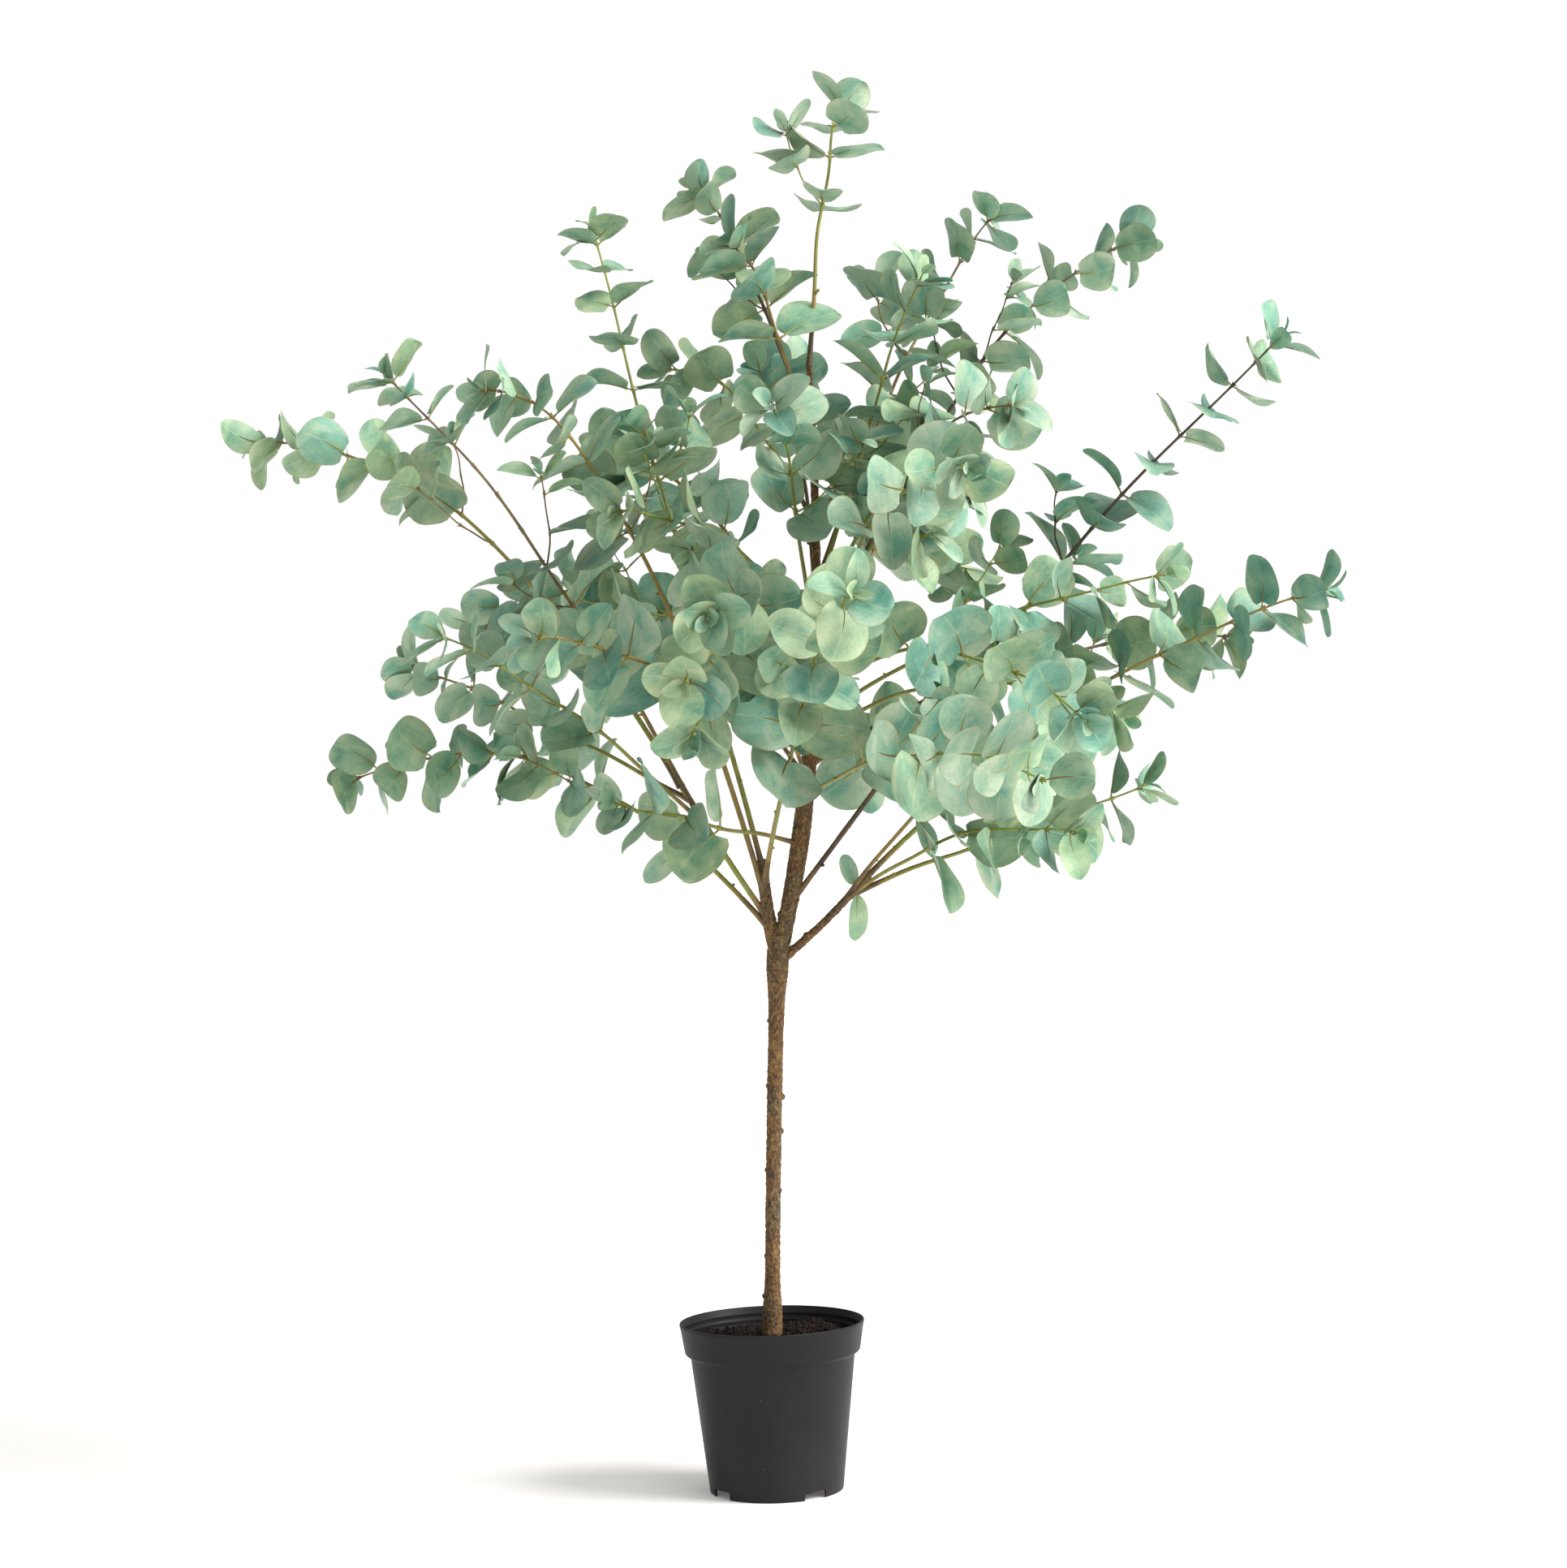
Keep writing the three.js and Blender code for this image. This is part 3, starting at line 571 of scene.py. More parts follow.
def wrapTree():
    # rings of each path's own radius, pushed in and out by noise that is drawn out along Z
    tree, given = newTree("wrapPaths", Paths="Geometry", Step="Float", Sides="Int", Relief="Float",
                          Grain="Float", Stretch="Float", Material="Material")
    curve = addNode(tree, "GeometryNodeMeshToCurve", {0: given["Paths"]})
    smooth = addNode(tree, "GeometryNodeCurveSplineType", {0: curve}, spline_type="CATMULL_ROM")
    even = addNode(tree, "GeometryNodeResampleCurve", {0: smooth, 3: given["Step"]}, mode="LENGTH")
    ring = addNode(tree, "GeometryNodeCurvePrimitiveCircle", {0: given["Sides"], 4: 1.0})
    thick = addNode(tree, "GeometryNodeInputNamedAttribute", {0: "thick"}, data_type="FLOAT")
    skin = addNode(tree, "GeometryNodeCurveToMesh", {0: even, 1: ring, 2: thick, 3: True})
    place = addNode(tree, "GeometryNodeInputPosition")
    squeeze = addNode(tree, "ShaderNodeCombineXYZ", {0: given["Stretch"], 1: given["Stretch"], 2: 1.0})
    drawn = addNode(tree, "ShaderNodeVectorMath", {0: place, 1: squeeze}, operation="MULTIPLY")
    scale = addNode(tree, "ShaderNodeMath", {0: 1.0, 1: given["Grain"]}, operation="DIVIDE")
    noise = addNode(tree, "ShaderNodeTexNoise", {
        "Vector": drawn, "Scale": scale, "Detail": 4.0, "Roughness": 0.68,
    })
    marked = addNode(tree, "GeometryNodeStoreNamedAttribute", {
        "Geometry": skin, "Name": "relief", "Value": noise,
    }, data_type="FLOAT", domain="POINT")
    centred = addNode(tree, "ShaderNodeMath", {0: noise, 1: 0.5}, operation="SUBTRACT")
    height = addNode(tree, "ShaderNodeMath", {0: centred, 1: given["Relief"]}, operation="MULTIPLY")
    normal = addNode(tree, "GeometryNodeInputNormal")
    push = addNode(tree, "ShaderNodeVectorMath", {0: normal, "Scale": height}, operation="SCALE")
    rough = addNode(tree, "GeometryNodeSetPosition", {0: marked, 3: push})
    return endTree(tree, rough, given["Material"])


def setOutTree():
    tree, given = newTree("setOutShapes", Places="Geometry", Shapes="Collection", Material="Material")
    shapes = addNode(tree, "GeometryNodeCollectionInfo", {0: given["Shapes"], 1: True, 2: True})
    which, turn, size = (
        addNode(tree, "GeometryNodeInputNamedAttribute", {0: label}, data_type=kind)
        for label, kind in (("shape", "INT"), ("turn", "QUATERNION"), ("size", "FLOAT"))
    )
    copies = addNode(tree, "GeometryNodeInstanceOnPoints", {
        0: given["Places"], 2: shapes, 3: True, 4: which, 5: turn, 6: size,
    })
    return endTree(tree, copies, given["Material"])


def crumbTree():
    tree, given = newTree("scatterCrumbs", Ground="Geometry", Spacing="Float", Density="Float", Seed="Int",
                          Smallest="Float", Largest="Float", Shapes="Collection", Material="Material")
    spots = addNode(tree, "GeometryNodeDistributePointsOnFaces", {
        0: given["Ground"], 2: given["Spacing"], 3: given["Density"], 6: given["Seed"],
    }, distribute_method="POISSON")
    shapes = addNode(tree, "GeometryNodeCollectionInfo", {0: given["Shapes"], 1: True, 2: True})
    spin = addNode(tree, "FunctionNodeRandomValue", {1: (6.28, 6.28, 6.28), 8: given["Seed"]},
                   data_type="FLOAT_VECTOR")
    turn = addNode(tree, "FunctionNodeEulerToRotation", {0: spin})
    size = addNode(tree, "FunctionNodeRandomValue", {
        2: given["Smallest"], 3: given["Largest"], 8: given["Seed"],
    }).outputs[1]
    copies = addNode(tree, "GeometryNodeInstanceOnPoints", {0: spots, 2: shapes, 3: True, 5: turn, 6: size})
    return endTree(tree, copies, given["Material"], smooth=False)


# Plain meshes that the trees work on, and the small shapes that they set out

def addValues(mesh, label, kind, values):
    # one value for each point of a mesh
    attribute = mesh.attributes.new(label, kind, "POINT")
    attribute.data.foreach_set("value", np.array(values, np.int32 if kind == "INT" else np.float32))


def chainMesh(name, chains):
    # many open paths as one mesh of edges, with a radius and a colour place at each point
    points, edges, thick, tone = [], [], [], []
    for places, radii, tones in chains:
        first = len(points)
        points.extend(tuple(place) for place in places)
        thick.extend(radii)
        tone.extend(tones)
        edges.extend((first + i, first + i + 1) for i in range(len(places) - 1))
    mesh = newMesh(name, points, edges, [])
    addValues(mesh, "thick", "FLOAT", thick)
    addValues(mesh, "tone", "FLOAT", tone)
    return mesh


def placesMesh(name, places):
    # points that carry a turn, a size, a tone and the number of a shape
    mesh = newMesh(name, [tuple(p["place"]) for p in places], [], [])
    turns = []
    for p in places:
        along, face = Vector(p["along"]), Vector(p["face"])
        turns.extend(Matrix((along, face.cross(along), face)).transposed().to_quaternion())
    addValues(mesh, "turn", "QUATERNION", turns)
    for label, kind in (("size", "FLOAT"), ("tone", "FLOAT"), ("shape", "INT")):
        addValues(mesh, label, kind, [p[label] for p in places])
    return mesh


def shapeSet(name, meshes):
    # the shapes that a set-out tree picks from, by number
    group = bpy.data.collections.new(name)
    bpy.context.scene.collection.children.link(group)
    for i, mesh in enumerate(meshes):
        group.objects.link(bpy.data.objects.new(f"{name}{i:02d}", mesh))
    return group


def dropShapes(group):
    for shape in list(group.objects):
        bpy.data.objects.remove(shape)
    bpy.data.collections.remove(group)


def spindle(name, rings, end, sides):
    # a closed thin form through rings of (place, radius) along +X, drawn in to a point at its end
    points, faces = [tuple(rings[0][0])], []
    for place, radius in rings:
        for i in range(sides):
            turn = 2 * math.pi * i / sides
            points.append(tuple(Vector(place) + Vector((0, math.cos(turn), math.sin(turn))) * radius))
    points.append(tuple(end))
    last = 1 + (len(rings) - 1) * sides
    for i in range(sides):
        after = (i + 1) % sides
        faces.append((0, 1 + after, 1 + i))
        for low in range(1, last, sides):
            faces.append((low + i, low + after, low + sides + after, low + sides + i))
        faces.append((last + i, last + after, len(points) - 1))
    return newMesh(name, points, [], faces)


# Materials

# how large each pattern is on the real thing; the weave of the cloth and the grain of the pot are too
# fine to show, and are drawn as coarse as they need to be
patterns = {
    "barkPatch": 34 * mm, "barkWash": 10 * mm, "barkFleck": 1.1 * mm, "twigTint": 16.67 * mm,
    "leafPatch": 29.41 * mm, "weave": 1.667 * mm, "potFilm": 111 * mm, "potGrain": 1.111 * mm,
    "dustSpeck": 13.33 * mm, "soilGrit": 3.846 * mm,
    "fibresPerLeaf": (13.0, 26.0, 1.0),  # about 4 mm long and 1 mm wide on a leaf of 50 mm
}


def layered(tree, ground, layers):
    # colours over a ground: the pattern of each, where it starts, where it is full, strength, colour
    for pattern, start, full, strength, colour in layers:
        much = addNode(tree, "ShaderNodeMapRange", {0: pattern, 1: start, 2: full, 4: strength})
        mix = addNode(tree, "ShaderNodeMix", {0: much, 6: ground, 7: colour}, data_type="RGBA")
        ground = mix.outputs[2]
    return ground


def finished(material, colour, height, strength, depth, look):
    # the fine bumps and the shader that end each material
    tree = material.node_tree
    bump = addNode(tree, "ShaderNodeBump", {"Strength": strength, "Distance": depth, "Height": height})
    shader = addNode(tree, "ShaderNodeBsdfPrincipled", {"Base Color": colour, "Normal": bump, **look})
    addNode(tree, "ShaderNodeOutputMaterial", {0: shader})
    return material


def barkMaterial(name, colours):
    # moulded plastic bark, dry brushed: brown and olive patches, gold on the high grains, dark pits at
    # random, and the low grains darkened, partly painted shade and partly the dark paint that dry brushing
    # leaves in them
    material, tree, place = newMaterial(name)
    relief = addNode(tree, "ShaderNodeAttribute", attribute_name="relief").outputs["Fac"]
    patch, wash, fleck = (
        addNode(tree, "ShaderNodeTexNoise", {
            "Vector": place, "Scale": 1 / patterns[key], "Detail": 3.0, "Roughness": 0.6,
        })
        for key in ("barkPatch", "barkWash", "barkFleck")
    )
    brown, olive, gold, pitAndShade = (linear(colour) for colour in colours)
    painted = layered(tree, brown, [
        (patch, 0.48, 0.6, 0.85, olive), (wash, 0.52, 0.72, 0.35, gold), (wash, 0.46, 0.34, 0.5, pitAndShade),
        # the dark colour in the low grains is painted shade, over the dark paint that dry brushing leaves
        # in them
        (relief, 0.5, 0.65, 0.6, gold), (relief, 0.47, 0.33, 0.85, pitAndShade),
        (fleck, 0.58, 0.68, 0.55, gold), (fleck, 0.46, 0.34, 0.5, pitAndShade),
    ])
    return finished(material, painted, fleck, 0.8, 0.5 * mm, {
        "Roughness": 0.7, "IOR": 1.46, "Specular IOR Level": 0.4,
    })


def twigMaterial(name, colours):
    # polyethylene over wire: smooth, from brown at the foot to yellow green at the tips
    material, tree, place = newMaterial(name)
    tone = addNode(tree, "ShaderNodeAttribute", attribute_name="tone").outputs["Fac"]
    noise = addNode(tree, "ShaderNodeTexNoise", {
        "Vector": place, "Scale": 1 / patterns["twigTint"], "Detail": 3.0,
    })
    spread = addNode(tree, "ShaderNodeMapRange", {0: noise, 1: 0.3, 2: 0.7, 3: -0.12, 4: 0.12})
    painted = addNode(tree, "ShaderNodeValToRGB", {
        0: addNode(tree, "ShaderNodeMath", {0: tone, 1: spread}),
    })
    stops = painted.color_ramp.elements
    for _ in colours[2:]:
        stops.new(0.5)
    for i, colour in enumerate(colours):
        stops[i].position = i / (len(colours) - 1)
        stops[i].color = linear(colour)
    return finished(material, painted, noise, 0.25, 0.3 * mm, {"Roughness": 0.42, "IOR": 1.5})


def leafMaterial(name, base, shade, glow):
    # printed polyester cloth: matt, a soft wash of darker and paler patches, fine fibres that run with
    # the leaf, each leaf a little lighter or darker, and a thin edge browned by the heat that cut it
    material, tree, place = newMaterial(name)
    tone = addNode(tree, "ShaderNodeAttribute", attribute_name="tone").outputs["Fac"]
    spot = addNode(tree, "ShaderNodeUVMap", uv_map="leafPlace")
    onward, outward = addNode(tree, "ShaderNodeSeparateXYZ", {0: spot}).outputs[:2]
    leafTurn = addNode(tree, "ShaderNodeMath", {0: tone, 1: 50.0}, operation="MULTIPLY")
    leafPlace = addNode(tree, "ShaderNodeCombineXYZ", {0: onward, 1: outward, 2: leafTurn})
    drawn = addNode(tree, "ShaderNodeVectorMath", {0: leafPlace, 1: patterns["fibresPerLeaf"]},
                    operation="MULTIPLY")
    patch, fibre, weave = (
        addNode(tree, "ShaderNodeTexNoise", {
            "Vector": where, "Scale": 1 / size, "Detail": detail, "Roughness": roughness,
            "Distortion": warp,
        })
        for where, size, detail, roughness, warp in (
            (place, patterns["leafPatch"], 3.0, 0.55, 0.5), (drawn, 1.0, 4.0, 0.7, 0.6),
            (place, patterns["weave"], 2.0, 0.7, 0.0),
        )
    )
    nearEdge, lighter, grain = (
        addNode(tree, "ShaderNodeMapRange", dict(enumerate(values)))
        for values in ((outward, 0.2, 1.0, 0.05, -0.09), (tone, 0.0, 1.0, 0.78, 1.12),
                       (weave, 0.3, 0.7, 0.93, 1.07))
    )
    wash = addNode(tree, "ShaderNodeMath", {0: patch, 1: nearEdge})
    midrib, singed = (linear(colour) for colour in blade["lineColours"])
    painted = layered(tree, base, [
        (wash, 0.5, 0.7, 0.8, shade), (wash, 0.48, 0.32, 0.5, glow),
        (fibre, 0.5, 0.72, 0.3, glow), (fibre, 0.48, 0.3, 0.35, shade),
        (outward, 0.06, 0.0, 0.4, midrib), (outward, 0.95, 0.99, 0.8, singed),
    ])
    much = addNode(tree, "ShaderNodeMath", {0: lighter, 1: grain}, operation="MULTIPLY")
    printed = addNode(tree, "ShaderNodeVectorMath", {0: painted, "Scale": much}, operation="SCALE")
    return finished(material, printed, fibre, 0.35, 0.3 * mm, {
        "Roughness": 0.55, "IOR": 1.45, "Specular IOR Level": 0.5,
    })


def potMaterial():
    # injection moulded polypropylene: charcoal, satin, with specks of dust
    material, tree, place = newMaterial("mouldedPolypropylene")
    film, fine = (
        addNode(tree, "ShaderNodeTexNoise", {
            "Vector": place, "Scale": 1 / patterns[key], "Detail": detail, "Roughness": roughness,
        })
        for key, detail, roughness in (("potFilm", 5.0, 0.6), ("potGrain", 2.0, 0.5))
    )
    rough = addNode(tree, "ShaderNodeMapRange", {0: film, 1: 0.3, 2: 0.7, 3: 0.4, 4: 0.54})
    grit = addNode(tree, "ShaderNodeTexVoronoi", {0: place, "Scale": 1 / patterns["dustSpeck"]})
    base, dust, speck = (linear(colour) for colour in pot["colours"])
    painted = layered(tree, base, [(film, 0.45, 0.75, 0.3, dust), (grit, 0.07, 0.03, 0.55, speck)])
    return finished(material, painted, fine, 0.1, 0.2 * mm, {
        "Roughness": rough, "IOR": 1.49, "Specular IOR Level": 0.12,
    })


def soilMaterial():
    # damp coir over peat: no shine, near black, with red brown crumbs
    material, tree, place = newMaterial("loosePeatAndCoir")
    grit = addNode(tree, "ShaderNodeTexNoise", {
        "Vector": place, "Scale": 1 / patterns["soilGrit"], "Detail": 3.0, "Roughness": 0.7,
    })
    painted = addNode(tree, "ShaderNodeValToRGB", {0: grit})
    for stop, share, colour in zip(painted.color_ramp.elements, (0.4, 0.72), soil["colours"]):
        stop.position = share
        stop.color = linear(colour)
    return finished(material, painted, grit, 0.8, 0.8 * mm, {
        "Roughness": 0.95, "Specular IOR Level": 0.2,
    })


# The pot: a thin moulded shell with a band under its lip and a notched foot ring (mm)
pot = {
    "height": 180, "rimRadius": 99, "bandHeight": 31, "bandFootRadius": 94, "shoulderRadius": 88,
    "shoulderDrop": 5, "baseRadius": 71.5, "wall": 2, "lip": 0.8, "floorHeight": 9,
    "padRadius": 45, "padSlope": 7, "segments": 144, "sharpAngle": 40,
    "notches": 4, "notchAngle": 35.5, "notchWidth": 27, "notchHeight": 8.5, "notchDepth": 10,
    "ridgeHeights": (172.5, 165.5, 158.5), "ridge": 0.5,
    "colours": ("#242324", "#3a3837", "#5a5653"),  # plastic, dust, specks
}


def turnedMesh(name, outline, segments):
    # an outline of (radius, height) in mm, turned round the Z axis; its ends are on the axis
    builder = bmesh.new()
    rings = []
    for radius, height in outline:
        turns = [2 * math.pi * i / segments for i in range(segments if radius > 0 else 1)]
        rings.append([
            builder.verts.new((radius * mm * math.cos(t), radius * mm * math.sin(t), height * mm))
            for t in turns
        ])
    for low, high in zip(rings, rings[1:]):
        for i in range(segments):
            corners = [low[i % len(low)], low[(i + 1) % len(low)],
                       high[(i + 1) % len(high)], high[i % len(high)]]
            builder.faces.new(list(dict.fromkeys(corners)))
    bmesh.ops.recalc_face_normals(builder, faces=builder.faces)
    for face in builder.faces:
        face.smooth = True
    return meshOf(name, builder)


def potOutline():
    # from the middle of the underside out, up over the lip and back down inside to the floor
    height, rim, band, wall, lip = (
        pot[key] for key in ("height", "rimRadius", "bandFootRadius", "wall", "lip")
    )
    shoulder, base, pad, under = (
        pot[key] for key in ("shoulderRadius", "baseRadius", "padRadius", "floorHeight")
    )
    bandFoot = height - pot["bandHeight"]
    shoulderTop = bandFoot - pot["shoulderDrop"]
    padEnd = pad + pot["padSlope"]
    floor = under + wall
    lean = (rim - band) / pot["bandHeight"]
    outline = [
        (0, 0), (pad, 0), (padEnd, under), (base - wall, under), (base - wall, 0.3),
        (base - wall + 0.3, 0), (base - lip, 0), (base - 0.2, 0.3), (base, lip),
        (shoulder - 0.15, shoulderTop - 1.2), (shoulder + 0.3, shoulderTop),
        (band - 1.2, bandFoot - 1.6), (band - 0.3, bandFoot - 0.7), (band, bandFoot + 0.2),
        (rim - 0.5, height - 3.4), (rim - 0.1, height - 2.8), (rim, height - lip),
        (rim - 0.25, height - 0.2), (rim - lip, height), (rim - wall + 0.3, height),
        (rim - wall, height - 0.4),
    ]
    for middle in pot["ridgeHeights"]:
        for rise, out in ((1.1, 0), (0.4, 1), (-0.4, 1), (-1.1, 0)):
            inside = band - wall + (middle + rise - bandFoot) * lean
            outline.append((inside - out * pot["ridge"], middle + rise))
    return outline + [
        (band - wall, bandFoot + 1), (shoulder - wall, shoulderTop + 1), (base - wall + 1.2, floor),
        (padEnd - 1, floor), (pad - 1, wall), (0, wall),
    ]


def notchCutter():
    # boxes that cut the notches out of the foot ring
    builder = bmesh.new()
    size = Matrix.Diagonal((
        pot["notchDepth"] * mm, pot["notchWidth"] * mm, 2 * pot["notchHeight"] * mm, 1,
    ))
    for i in range(pot["notches"]):
        turn = Matrix.Rotation(math.radians(pot["notchAngle"] + i * 360 / pot["notches"]), 4, "Z")
        place = turn @ Matrix.Translation((pot["baseRadius"] * mm, 0, 0))
        bmesh.ops.create_cube(builder, size=1, matrix=place @ size)
    return placed("notchCutter", meshOf("notchCutter", builder))


def sharpen(mesh, degrees):
    # smooth faces with sharp edges where they meet steeply
    builder = bmesh.new()
    builder.from_mesh(mesh)
    for edge in builder.edges:
        edge.smooth = len(edge.link_faces) == 2 and edge.calc_face_angle(0) < math.radians(degrees)
    for face in builder.faces:
        face.smooth = True
    builder.to_mesh(mesh)
    builder.free()


def buildPot():
    piece = placed("nurseryPot", turnedMesh("nurseryPot", potOutline(), pot["segments"]))
    cutter = notchCutter()
    notches = piece.modifiers.new("notches", "BOOLEAN")
    notches.object = cutter
    notches.operation = "DIFFERENCE"
    mesh = baked(piece, notches)
    bpy.data.objects.remove(cutter)
    sharpen(mesh, pot["sharpAngle"])
    mesh.materials.clear()
    mesh.materials.append(potMaterial())
    return piece


settle(buildPot(), "pot", "pot")

# The soil: a lumpy mound a little under the rim, with loose crumbs on it (mm)
soil = {
    "edgeHeight": 158, "seatHeight": 163, "edgeRadius": 92.4, "rings": 30, "segments": 96, "lump": 3.0,
    "heapX": 38, "heapY": 26, "heapRise": 12, "heapSpread": 22,
    "foot": [(0, 2.4), (43.5, 2.4), (50.5, 11.6), (70, 11.6), (85.6, 145.5), (91.4, 150.6)],
    "smallestCrumb": 1.5, "largestCrumb": 7.5, "crumbSpacing": 2.4, "crumbDensity": 95000.0,
    "trunkRoom": 13, "crumbReach": 90, "colours": ("#0c090a", "#34261f"),
}


def buildSoil():
    dice = Dice(5)
    phases = [dice.between(0, 6.28) for _ in range(6)]
    low, seat = soil["edgeHeight"], soil["seatHeight"]
    outline = list(soil["foot"])
    for i in range(soil["rings"]):
        share = i / soil["rings"]
        outline.append((soil["edgeRadius"] * (1 - share), low + (seat - low) * share ** 0.5))
    outline.append((0, seat))
    mesh = turnedMesh("pottingSoil", outline, soil["segments"])
    for vertex in mesh.vertices:
        x, y, z = (c / mm for c in vertex.co)
        if z < low - 0.1 or math.hypot(x, y) > soil["edgeRadius"] - 1.5:
            continue
        lump = (math.sin(x * 0.13 + phases[0]) * math.sin(y * 0.11 + phases[1])
                + 0.6 * math.sin(x * 0.31 + y * 0.17 + phases[2]) * math.sin(y * 0.37 + phases[3])
                + 0.5 * math.sin(x * 0.7 + phases[4]) * math.sin(y * 0.66 + x * 0.2 + phases[5]))
        away = (x - soil["heapX"]) ** 2 + (y - soil["heapY"]) ** 2
        heap = soil["heapRise"] * math.exp(-away / (2 * soil["heapSpread"] ** 2))
        vertex.co.z += (soil["lump"] * lump + heap) * mm
    mesh.materials.append(soilMaterial())
    return placed("pottingSoil", mesh)


def crumbMesh(seed):
    # a small jagged lump, one unit across
    dice = Dice(seed)
    builder = bmesh.new()
    bmesh.ops.create_icosphere(builder, subdivisions=1, radius=0.5)
    for vertex in builder.verts:
        vertex.co *= dice.between(0.65, 1.25)
        vertex.co.z *= 0.75
    return meshOf(f"crumb{seed}", builder)


def buildCrumbs(ground):
    # crumbs lie only on the mound, clear of the pot's wall and of the trunk
    top = bmesh.new()
    top.from_mesh(ground)
    unwanted = []
    for face in top.faces:
        centre = face.calc_center_median() / mm
        radius = math.hypot(centre.x, centre.y)
        onMound = face.normal.z > 0.5 and centre.z > 150
        if not onMound or not soil["trunkRoom"] < radius < soil["crumbReach"]:
            unwanted.append(face)
    bmesh.ops.delete(top, geom=unwanted, context="FACES")
    shapes = shapeSet("crumb", [crumbMesh(seed) for seed in (11, 12, 13, 14)])
    piece = grown("soilCrumbs", meshOf("crumbGround", top), crumbTree(), Seed=3,
                  Spacing=soil["crumbSpacing"] * mm, Density=soil["crumbDensity"],
                  Smallest=soil["smallestCrumb"] * mm, Largest=soil["largestCrumb"] * mm,
                  Shapes=shapes, Material=soilMaterial())
    dropShapes(shapes)
    return piece


soilPiece = buildSoil()
settle(soilPiece, "soil", "soil")
settle(buildCrumbs(soilPiece.data), "soil")

# The skins of the woody parts: step between rings, sides, height and size of the grain, and how much
# longer than wide the grain is
skins = {
    "bark": {"Step": 1.0 * mm, "Sides": 56, "Relief": 4.6 * mm, "Grain": 4.2 * mm, "Stretch": 1.9},
    "bough": {"Step": 2.5 * mm, "Sides": 12, "Relief": 0.8 * mm, "Grain": 3.5 * mm, "Stretch": 1.9},
    "twig": {"Step": 3.5 * mm, "Sides": 8, "Relief": 0.3 * mm, "Grain": 4 * mm, "Stretch": 1.0},
    "shoot": {"Step": 3.5 * mm, "Sides": 6, "Relief": 0.3 * mm, "Grain": 4 * mm, "Stretch": 1.0},
}
barkColours = ("#604429", "#4a4232", "#a8854f", "#1c140d")  # brown, olive, gold, dark pits that also paint the shade in the low grains
twigs = {
    "colours": ("#33271c", "#5b4629", "#8c7334", "#7b7a33", "#98a046"),
    "knob": 0.5, "knobLength": 2.6 * mm, "swell": 0.6, "swellLength": 12 * mm,
    "footLength": (0, 25 * mm, 60 * mm), "footTones": (0.2, 0.3),
    "bract": 6.5 * mm, "bractSplay": 0.55, "stub": 7 * mm, "stubSplay": 0.9, "stubSpacing": 48 * mm,
    "oliveLimbTones": ((0, 0.15, 0.3), (0.2, 0.4, 0.78)),
}
# where each spray's twig starts and ends in that row of colours; the rest are olive
twigTones = {
    "dark": (0.16, 0.08, ("crest_left", "high_right", "far_right_high", "back_high", "right_low")),
    "brown": (0.42, 0.3, ("crest_mid", "upper_left", "crest_far_right", "back_right")),
    "tan": (0.5, 0.58, ("high_left", "front_far_left", "low_right", "back_upper_left")),
    "fading": (0.82, 0.4, ("far_left", "lower_left", "far_right", "low_mid_left", "mid_right")),
}
oliveTwig = (0.74, 0.9)
# cut stubs and knots on the limbs: limb, share along it, azimuth, length and radius (mm)
knotTable = [
    ("trunk", 0.59, 8, 12.4, 3.8), ("trunk", 0.505, 352, 12, 3.4), ("trunk", 0.36, 340, 10.6, 3.2),
    ("trunk", 0.62, 190, 10.4, 3.2), ("trunk", 0.78, 160, 10.2, 3.4), ("trunk", 0.2, 200, 10.4, 3.2),
    ("trunk", 0.41, 185, 11, 2.4), ("trunk", 0.1, 190, 12, 3.4),
    ("leader", 0.1, 0, 12, 3.6), ("leader", 0.07, 190, 11, 3.4), ("low_limb", 0.35, 100, 8, 2.6),
    ("left_limb", 0.9, 175, 10, 4.4), ("low_limb", 0.12, 80, 9, 3),
]
knot = {"lift": 0.7, "shares": (0, 0.5, 0.85, 1), "widths": (1.5, 1.2, 1, 0.6)}
barkTone = 0.5


def twigTone(name):
    for start, end, names in twigTones.values():
        if name in names:
            return start, end
    return oliveTwig


def stemTones(spray, shares):
    # brown where the stem is plugged in, then its own colours
    marks = [mark / spray["path"].length for mark in twigs["footLength"]] + [1]
    return np.interp(shares, marks, [*twigs["footTones"], *twigTone(spray["name"])])


def swollen(path, shares):
    # the swelling where a stem leaves its limb, 1 at its root and fading along it
    return np.exp(-np.array(shares) * path.length / twigs["swellLength"])


def knobbed(path, shares, thick, marks):
    # the plain radius, swollen where a pair of leaves is plugged in
    away = (np.array(shares)[:, None] - np.array(marks)[None]) * path.length / twigs["knobLength"]
    return thick * (1 + twigs["knob"] * np.exp(-away ** 2).max(axis=1))


def tapered(path, start, end, spacing, *radii):
    # a stretch of a path: shares of its length, their places, and the radius at each
    count = max(2, math.ceil(path.length * (end - start) / spacing))
    shares = [start + (end - start) * i / count for i in range(count + 1)]
    thick = np.interp(shares, np.linspace(start, end, len(radii)), radii)
    return shares, [path.point(share) for share in shares], thick


def limbChains():
    # the moulded limbs, then the knots and cut stubs on them
    for name, limb in limbTable.items():
        if name != oliveLimb:
            shares, places, thick = tapered(limbPaths[name], 0, 1, chainSpacing, *limb["radii"])
            yield places, thick * mm, [barkTone] * len(shares)
    for name, share, azimuth, length, radius in knotTable:
        turn = math.radians(azimuth)
        out = unit(np.array([math.cos(turn), math.sin(turn), knot["lift"]])) * length * mm
        places = [limbPaths[name].point(share) + out * t for t in knot["shares"]]
        yield places, [radius * mm * wider for wider in knot["widths"]], [barkTone] * len(places)


